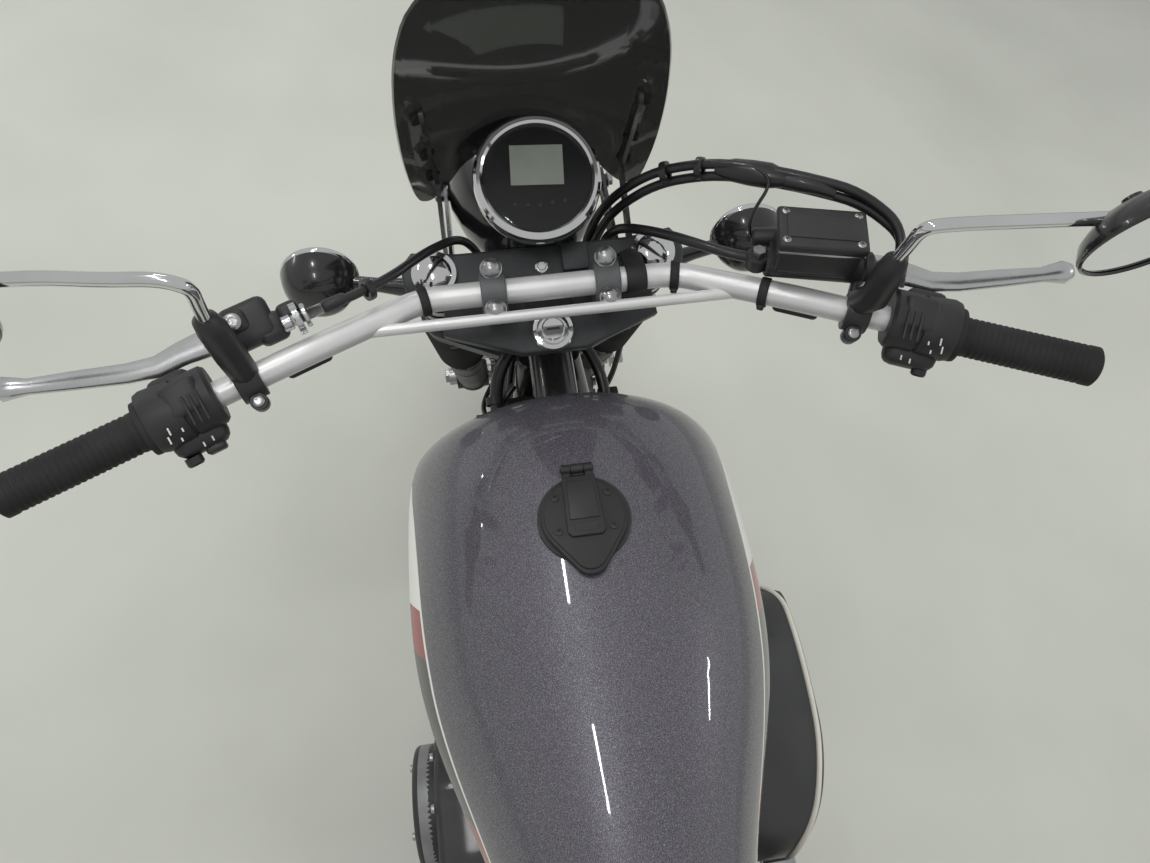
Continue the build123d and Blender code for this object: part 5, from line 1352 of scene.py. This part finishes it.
def dress_pipes():
    """Clamps, heat shields and the silencer's bands and end."""
    bm = bmesh.new()
    line_place = facing((462, -196, 289), (-600, -62, 138))
    for low in (66.0, 536.0):
        spun(bm, [(50.4, low), (52.0, low + 1), (52.0, low + 11), (50.4, low + 12)], 56, line_place, 1)
    spun(bm, [(44, 590.2), (30, 597), (23, 600), (21, 600), (21.5, 560)], 48, line_place, 1)
    for x, y in circle_of(6, 36.0):
        lean = Vector((0.35 * x / 36.0, 0.35 * y / 36.0, 1))
        socket_bolt(bm, line_place @ facing((x, y, 594.5), lean), 3.2, 2.6, 2)
    spun(bm, [(20.2, -14), (29, -14), (30, -13), (30, 12), (29, 13), (20.2, 13)], 40, line_place, 2)
    block(bm, (14, 26, 18), (0, -36, 0), 2, 2, line_place, 2)
    hex_bolt(bm, line_place @ facing((7.2, -42, 0), (1, 0, 0)), 5.5, 4, 2)
    front, rear = 905.0, 590.0
    shield = [(front, 13), (rear, 13), (rear - 14, 0), (rear, -13), (front, -13), (front + 14, 0)]
    place = Matrix.Translation((0, -188.0, 242.0)) @ RIGHTWARD
    slab(bm, rounded(shield, 2), -3, 3.5, 1.2, 2, place)
    for i in range(9):
        slot = front - 40 - 28 * i
        corners = [(slot - 8, -5), (slot + 8, -5), (slot + 8, 5), (slot - 8, 5)]
        slab(bm, rounded(corners, 2), 3.2, 3.9, 0, 1, place, 3)
    for x in (front - 14, rear + 14):
        screw(bm, place @ facing((x, 0, 3.6)), 4, 2)
    piece("exhaust_fittings", bm, [satin_black, steel, steel, moulded], "chassis")


# Rear end


def dress_shocks():
    """Two shock absorbers, each a damper in its open coil spring."""
    bottom, way = Vector((50.0, 152.0, 388.0)), Vector((115.0, 0.0, 302.0))
    length = way.length
    damper = [
        (12, 12), (17, 22), (22, 34), (22, 56), (31, 57), (31, 62), (24, 64), (19, 66), (19, 150), (9, 152),
        (6, 154), (6, length - 60), (20, length - 58), (24, length - 56), (24, length - 50),
    ]
    hood = [(24, length - 53), (31, length - 53), (31, length - 46), (25, length - 44), (20, length - 24),
            (14, length - 12)]
    places = {side: facing((bottom.x, side * bottom.y, bottom.z), way) for side in (1, -1)}
    bm = bmesh.new()
    for side, place in places.items():
        for height in (0.0, length):
            eye = Matrix.Translation(place @ Vector((0, 0, height))) @ LEFTWARD
            spun(bm, [(8.5, -14), (16, -14), (17, -13), (17, 13), (16, 14), (8.5, 14)], 32, eye)
            spun(bm, [(7.1, -14.6), (10.5, -14.6), (10.5, 14.6), (7.1, 14.6)], 24, eye, 2)
            hex_bolt(bm, eye @ facing((0, 0, side * 22), (0, 0, side)), 9, 6, 3)
        spun(bm, damper, 40, place, 1)
        spun(bm, hood, 40, place)
        for low in (36, 40, 44, 48, 52):
            spun(bm, [(22, low), (23.2, low + 1), (23.2, low + 2.4), (22, low + 3.4)], 36, place, 1)
    piece("shock_bodies", bm, [satin_black, steel, rubber, steel], "chassis", BIKE, ("shocks",))
    low, high, turns, per_turn = 66.0, length - 57.0, 9.5, 10
    steps = int(turns * per_turn)
    for side, name in ((1, "left_spring"), (-1, "right_spring")):
        coil = []
        for i in range(steps + 1):
            turn = math.tau * i / per_turn
            rise = low + (high - low) * i / steps
            coil.append(places[side] @ Vector((26.8 * math.cos(turn), 26.8 * math.sin(turn), rise)))
        line(name, coil, 4.1, spring_black, "chassis")


def dress_side_plates():
    """Oval number plates, left bare, in a rolled rim."""
    oval = arc((0, 0), 1.0, 0, 360, 64)[:-1]
    for side, name in ((1, "left_side_plate"), (-1, "right_side_plate")):
        bm = bmesh.new()
        place = side_place(side * 116.0, side) @ Matrix.Translation((462, -side * 610, 0))
        slab(bm, [(121 * x, 91 * y) for x, y in oval], 0.2, 3.4, 1.2, 2, place)
        slab(bm, [(106 * x, 77 * y) for x, y in oval], 2.6, 4.8, 1.6, 3, place, 1)
        for x in (-45, 45):
            screw(bm, place @ facing((x, 0, 4.8)), 6, 2)
            spun(bm, [(0, -46), (8, -46), (8, 0), (0, 0)], 18, place @ Matrix.Translation((x, 0, 0)))
        piece(name, bm, [satin_black, plate_cream, steel, moulded], "chassis")
    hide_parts("side_plates")


def dress_tail():
    """The tail light's lens in its black shell, with a chrome edge and two screws."""
    bm = bmesh.new()
    angle = math.radians(122)
    out = Vector((math.cos(angle), 0, math.sin(angle)))
    turned = Matrix(((0, out.z, out.x, 0), (1, 0, 0, 0), (0, -out.x, out.z, 0), (0, 0, 0, 1)))
    place = Matrix.Translation(REAR_AXLE + out * 366.0) @ turned
    shell = rounded([(-42, -30), (42, -30), (42, 30), (-42, 30)], 3)
    slab(bm, shell, 6, 36, 3, 3, place)
    slab(bm, [(0.9 * x, 0.88 * y) for x, y in shell], 34, 60, 9, 5, place, 1)
    slab(bm, [(0.96 * x, 0.96 * y) for x, y in shell], 35, 38.5, 1.2, 2, place, 2)
    for x in (-26, 26):
        screw(bm, place @ facing((x, 0, 60)), 3.2, 3)
    piece("tail_lamp", bm, [gloss_black, red_glass, chrome, steel, moulded], "chassis", BIKE, ("tail_light",))


def dress_pegs():
    """Ribbed rubbers on the footrests and on the shift and brake pedals."""
    bm = bmesh.new()
    for side in (1, -1):
        place = Matrix.Translation((580, 0, 278)) @ (LEFTWARD if side > 0 else RIGHTWARD)
        ribs = [(10, 148), (15, 148), (15.4, 150)]
        for i in range(9):
            low = 154 + 11.5 * i
            ribs += [(15.6, low), (17.2, low + 1.5), (17.2, low + 7.5), (15.6, low + 9)]
        spun(bm, ribs + [(17, 260), (15, 262), (0, 262)], 28, place)
        block(bm, (30, 34, 22), (0, 0, 138), 3, 2, place, 1)
        spun(bm, [(0, 12), (8, 12), (8, -12), (0, -12)], 20, Matrix.Translation((580, side * 138.0, 278)), 2)
    ribs = [(9.2, 234)]
    for i in range(6):
        ribs += [(10.4, 236 + 6 * i), (10.4, 240 + 6 * i), (9.2, 241 + 6 * i)]
    spun(bm, ribs + [(0, 276.2)], 24, Matrix.Translation((742, 0, 300)) @ LEFTWARD)
    for i in range(5):
        block(bm, (4.5, 40, 3.5), (743 + 9.5 * i, -230, 304.6), 1, 1)
    piece("footrest_rubbers", bm, [rubber, satin_black, steel], "chassis")


def dress_fasteners():
    """Bolts of the engine mounts, swingarm pivot, shocks, fenders, battery box and horn."""
    bm = bmesh.new()
    for side in (1, -1):
        for x, z in ((965, 322), (1000, 322), (1120, 330)):
            hex_bolt(bm, facing((x, side * 90.2, z), (0, side, 0)), 8, 6)
        hex_bolt(bm, facing((535, side * 138.0, 345), (0, side, 0)), 15, 9)
        for x, z in ((520, 375), (590, 375), (520, 280)):
            hex_bolt(bm, facing((x, side * 70.4, z), (0, side, 0)), 7, 5)
        for x, z in ((415, 500), (550, 500), (415, 700), (550, 700)):
            screw(bm, facing((x, side * 68.4, z), (0, side, 0)), 5)
        for x in (30.0, -25.0):
            block(bm, (16, 6, 12), (x, side * 141.0, 329.1), 1, 1)
            end = x - 12 if x < 0 else x + 12
            hex_bolt(bm, facing((end, side * 138.6, 329.1), (0, side, 0)), 5, 4)
    for angle in (60, 96, 140):
        out = Vector((math.cos(math.radians(angle)), 0, math.sin(math.radians(angle))))
        for y in (-30, 30):
            hex_bolt(bm, facing(REAR_AXLE + out * 376.4 + Vector((0, y, 0)), out), 6, 3.5)
    piece("chassis_fasteners", bm, [steel, moulded], "chassis")
    bm = bmesh.new()
    place = Matrix.Translation((1182, 0, 735)) @ LEFTWARD
    spun(bm, [(34.2, 48), (35.2, 49), (35.2, 55), (34.2, 56)], 48, place, 1)
    spun(bm, [(0, 100), (8, 100), (9, 98), (9, 96), (23, 96), (24, 94)], 36, place, 1)
    for x, y in circle_of(6, 29.0):
        screw(bm, place @ facing((x, y, 84.4)), 3, 2)
    piece("horn_rim", bm, [gloss_black, chrome, steel, moulded], "chassis")


def dress_wiring():
    """Looms and cables that leave the steering head and run under the tank."""
    looms = (
        ("left_loom", 7.0,
         [(1240, 30, 842), (1222, 52, 828), (1186, 62, 812), (1150, 58, 806), (1110, 40, 790)]),
        ("right_loom", 6.0,
         [(1240, -30, 838), (1220, -48, 820), (1180, -54, 800), (1140, -46, 786), (1100, -34, 770)]),
        ("coil_lead", 4.2, [(1212, 40, 800), (1190, 66, 784), (1158, 70, 770), (1132, 52, 758)]),
        ("head_wire", 3.2, [(1262, 26, 822), (1246, 40, 796), (1220, 46, 770), (1204, 60, 752)]),
        ("left_wire", 2.6,
         [(1262, 34, 800), (1230, 60, 790), (1190, 78, 796), (1160, 66, 812), (1140, 40, 812)]),
    )
    for name, radius, points in looms:
        line(name, points, radius, cable_sleeve, "chassis")
    bm = bmesh.new()
    for centre, way in (
        ((1186, 62, 812), (-1, 0, -0.4)),
        ((1180, -54, 800), (-1, 0.1, -0.5)),
        ((1160, 66, 770), (-1, -0.3, -0.2)),
    ):
        spun(bm, [(7, -4), (9, -4), (9, 4), (7, 4)], 20, facing(centre, way))
    block(bm, (44, 30, 26), (1152, 62, 792), 3, 2, Matrix(), 1)
    block(bm, (26, 22, 18), (1190, -58, 782), 2, 2, Matrix(), 1)
    piece("loom_clips", bm, [moulded, satin_black], "chassis")


# Fuel cap

# The lid's middle and radius, how far back its tail's middle lies, the tail's radius, and the lid's underside
CAP = (994.0, 35.0, 36.0, 14.0, 916.4)
LID_HINGE = Vector((1037.0, 0, 920.0))


def dress_cap():
    """The lid, a pear in outline, with its flap, lip and four screws."""
    x, radius, tail, tail_radius, low = CAP
    open_turn = math.degrees(math.acos((radius - tail_radius) / tail))
    pear = arc((x, 0), radius, -180 + open_turn, 180 - open_turn, 40)
    pear += arc((x - tail, 0), tail_radius, 180 - open_turn, 180 + open_turn, 12)
    bm = bmesh.new()
    slab(bm, pear, low, low + 4.4, 1.2, 3)
    crown = [(x + 0.93 * (px - x), 0.93 * py) for px, py in pear]
    slab(bm, crown, low + 3.6, low + 6.2, 1.6, 4)
    flap = [(x + radius - 1, 13.5), (x + radius - 1, -13.5), (x - 15, -15.5), (x - 19, -12), (x - 19, 12),
            (x - 15, 15.5)]
    slab(bm, flap, low + 5.2, low + 8.8, 1.2, 3)
    lift = [(x + radius - 6, 10.5), (x + radius - 6, -10.5), (x - 5, -12), (x - 5, 12)]
    slab(bm, lift, low + 8.0, low + 10.0, 0.9, 3, Matrix(), 1)
    keyway = [(x - 8, 10), (x - 8, -10), (x - 15.5, -9), (x - 15.5, 9)]
    slab(bm, keyway, low + 8.2, low + 9.2, 0.4, 1, Matrix(), 2)
    for ahead, y in ((17, 21.5), (17, -21.5), (-13, 22), (-13, -22)):
        socket_bolt(bm, Matrix.Translation((x + ahead, y, low + 5.8)), 3.1, 1.6, 1)
    eye = Matrix.Translation(LID_HINGE) @ LEFTWARD
    for side in (1, -1):
        spun(bm, [(2.4, side * 5.6), (4.4, side * 5.6), (4.4, side * 12.8), (2.4, side * 12.8)], 24, eye)
        block(bm, (16, 7.2, 4.6), (LID_HINGE.x - 10, side * 9.2, low + 2.8), 0.8, 1)
    piece("filler_lid", bm, [cap_black, satin_black, moulded], "fuel_lid", BIKE, ("cap_lid",))


# Seat

SEAT_LOW, SEAT_HIGH = 764.6, 831.0
GROOVE_DEEP, GROOVE_WIDE = 5.0, 5.0
MOST_SWELL = 0.006


def keep_result(made):
    """Makes what the modifiers show the mesh itself."""
    finished = bpy.data.meshes.new_from_object(made.evaluated_get(bpy.context.evaluated_depsgraph_get()))
    made.modifiers.clear()
    made.data = finished


def apply(made, kind, **settings):
    """Adds one modifier and keeps its result."""
    change = made.modifiers.new(kind.lower(), kind)
    for key, value in settings.items():
        setattr(change, key, value)
    keep_result(made)


def swell(made):
    """Lets the foam's pressure round the cover."""
    cloth = made.modifiers.new("foam", "CLOTH")
    cloth.settings.use_pressure = True
    cloth.settings.uniform_pressure_force = 4.0
    cloth.settings.effector_weights.gravity = 0.0
    for frame_number in range(1, 21):
        bpy.context.scene.frame_set(frame_number)
    keep_result(made)
    bpy.context.scene.frame_set(1)


def dress_seat():
    """The bench: foam in a stitched cover, crowned by its padding, with a beaded edge."""
    half = [(638, 60), (560, 70), (450, 95), (330, 116), (140, 119), (-50, 118), (-92, 100), (-107, 70)]
    outline = rounded(half + [(x, -y) for x, y in reversed(half)], 2)
    bm = bmesh.new()
    slab(bm, outline, 768.0, 824.0, 10, 3, BIKE)
    mesh = bpy.data.meshes.new("bench_seat")
    bm.to_mesh(mesh)
    bm.free()
    seat = bpy.data.objects.new("bench_seat", mesh)
    bpy.context.collection.objects.link(seat)
    apply(seat, "REMESH", mode="VOXEL", voxel_size=0.006)
    rest = [vert.co.copy() for vert in seat.data.vertices]
    swell(seat)
    for vert, at_rest in zip(seat.data.vertices, rest):
        moved = (vert.co - at_rest).length
        if moved > MOST_SWELL:
            vert.co = at_rest.lerp(vert.co, MOST_SWELL / moved)
    apply(seat, "SUBSURF", levels=1, render_levels=1)
    to_bike = BIKE.inverted()
    grooves = [560 - 62 * i for i in range(10)]
    for vert in seat.data.vertices:
        point = to_bike @ vert.co
        top = min(1.0, max(0.0, (point.z - 800.0) / 20.0))
        edge = 1.0 - min(1.0, abs(point.y) / 125.0) ** 4
        groove = max(math.exp(-((point.x - x) / GROOVE_WIDE) ** 2) for x in grooves)
        point.z -= GROOVE_DEEP * top * edge * groove
        point.z = max(min(point.z, SEAT_HIGH), SEAT_LOW)
        vert.co = BIKE @ point
    seat.data.shade_smooth()
    seat.data.materials.append(seat_cover)
    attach(seat, "chassis")
    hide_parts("seat")
    rim = [(x, y, 768.0) for x, y in outline[::2]]
    line("seat_bead", rim + [rim[0]], 3.0, seat_piping, "chassis")


dress_clamps()
for hand in (1, -1):
    dress_grip(hand)
    dress_switches(hand)
dress_levers()
dress_mirrors()
dress_gauge()
dress_headlight()
dress_cap()
dress_screen()
dress_signals()
dress_fork()
dress_tyre("front_tread", 331.0, 100.0, 241.0, 62.0, FRONT_AXLE, 62, FRONT_ROWS, "front_wheel")
dress_tyre("rear_tread", 328.0, 140.0, 216.0, 94.0, REAR_AXLE, 56, REAR_ROWS, "rear_wheel")
dress_wheel("front_nipples", 241.0, 62.0, 38.0, 46.0, FRONT_AXLE, "front_wheel")
dress_wheel("rear_nipples", 216.0, 94.0, 44.0, 58.0, REAR_AXLE, "rear_wheel")
dress_hub_bolts()
dress_cylinders()
dress_covers()
dress_air_cleaner()
dress_pipes()
dress_shocks()
dress_side_plates()
dress_tail()
dress_pegs()
dress_fasteners()
dress_wiring()
dress_seat()
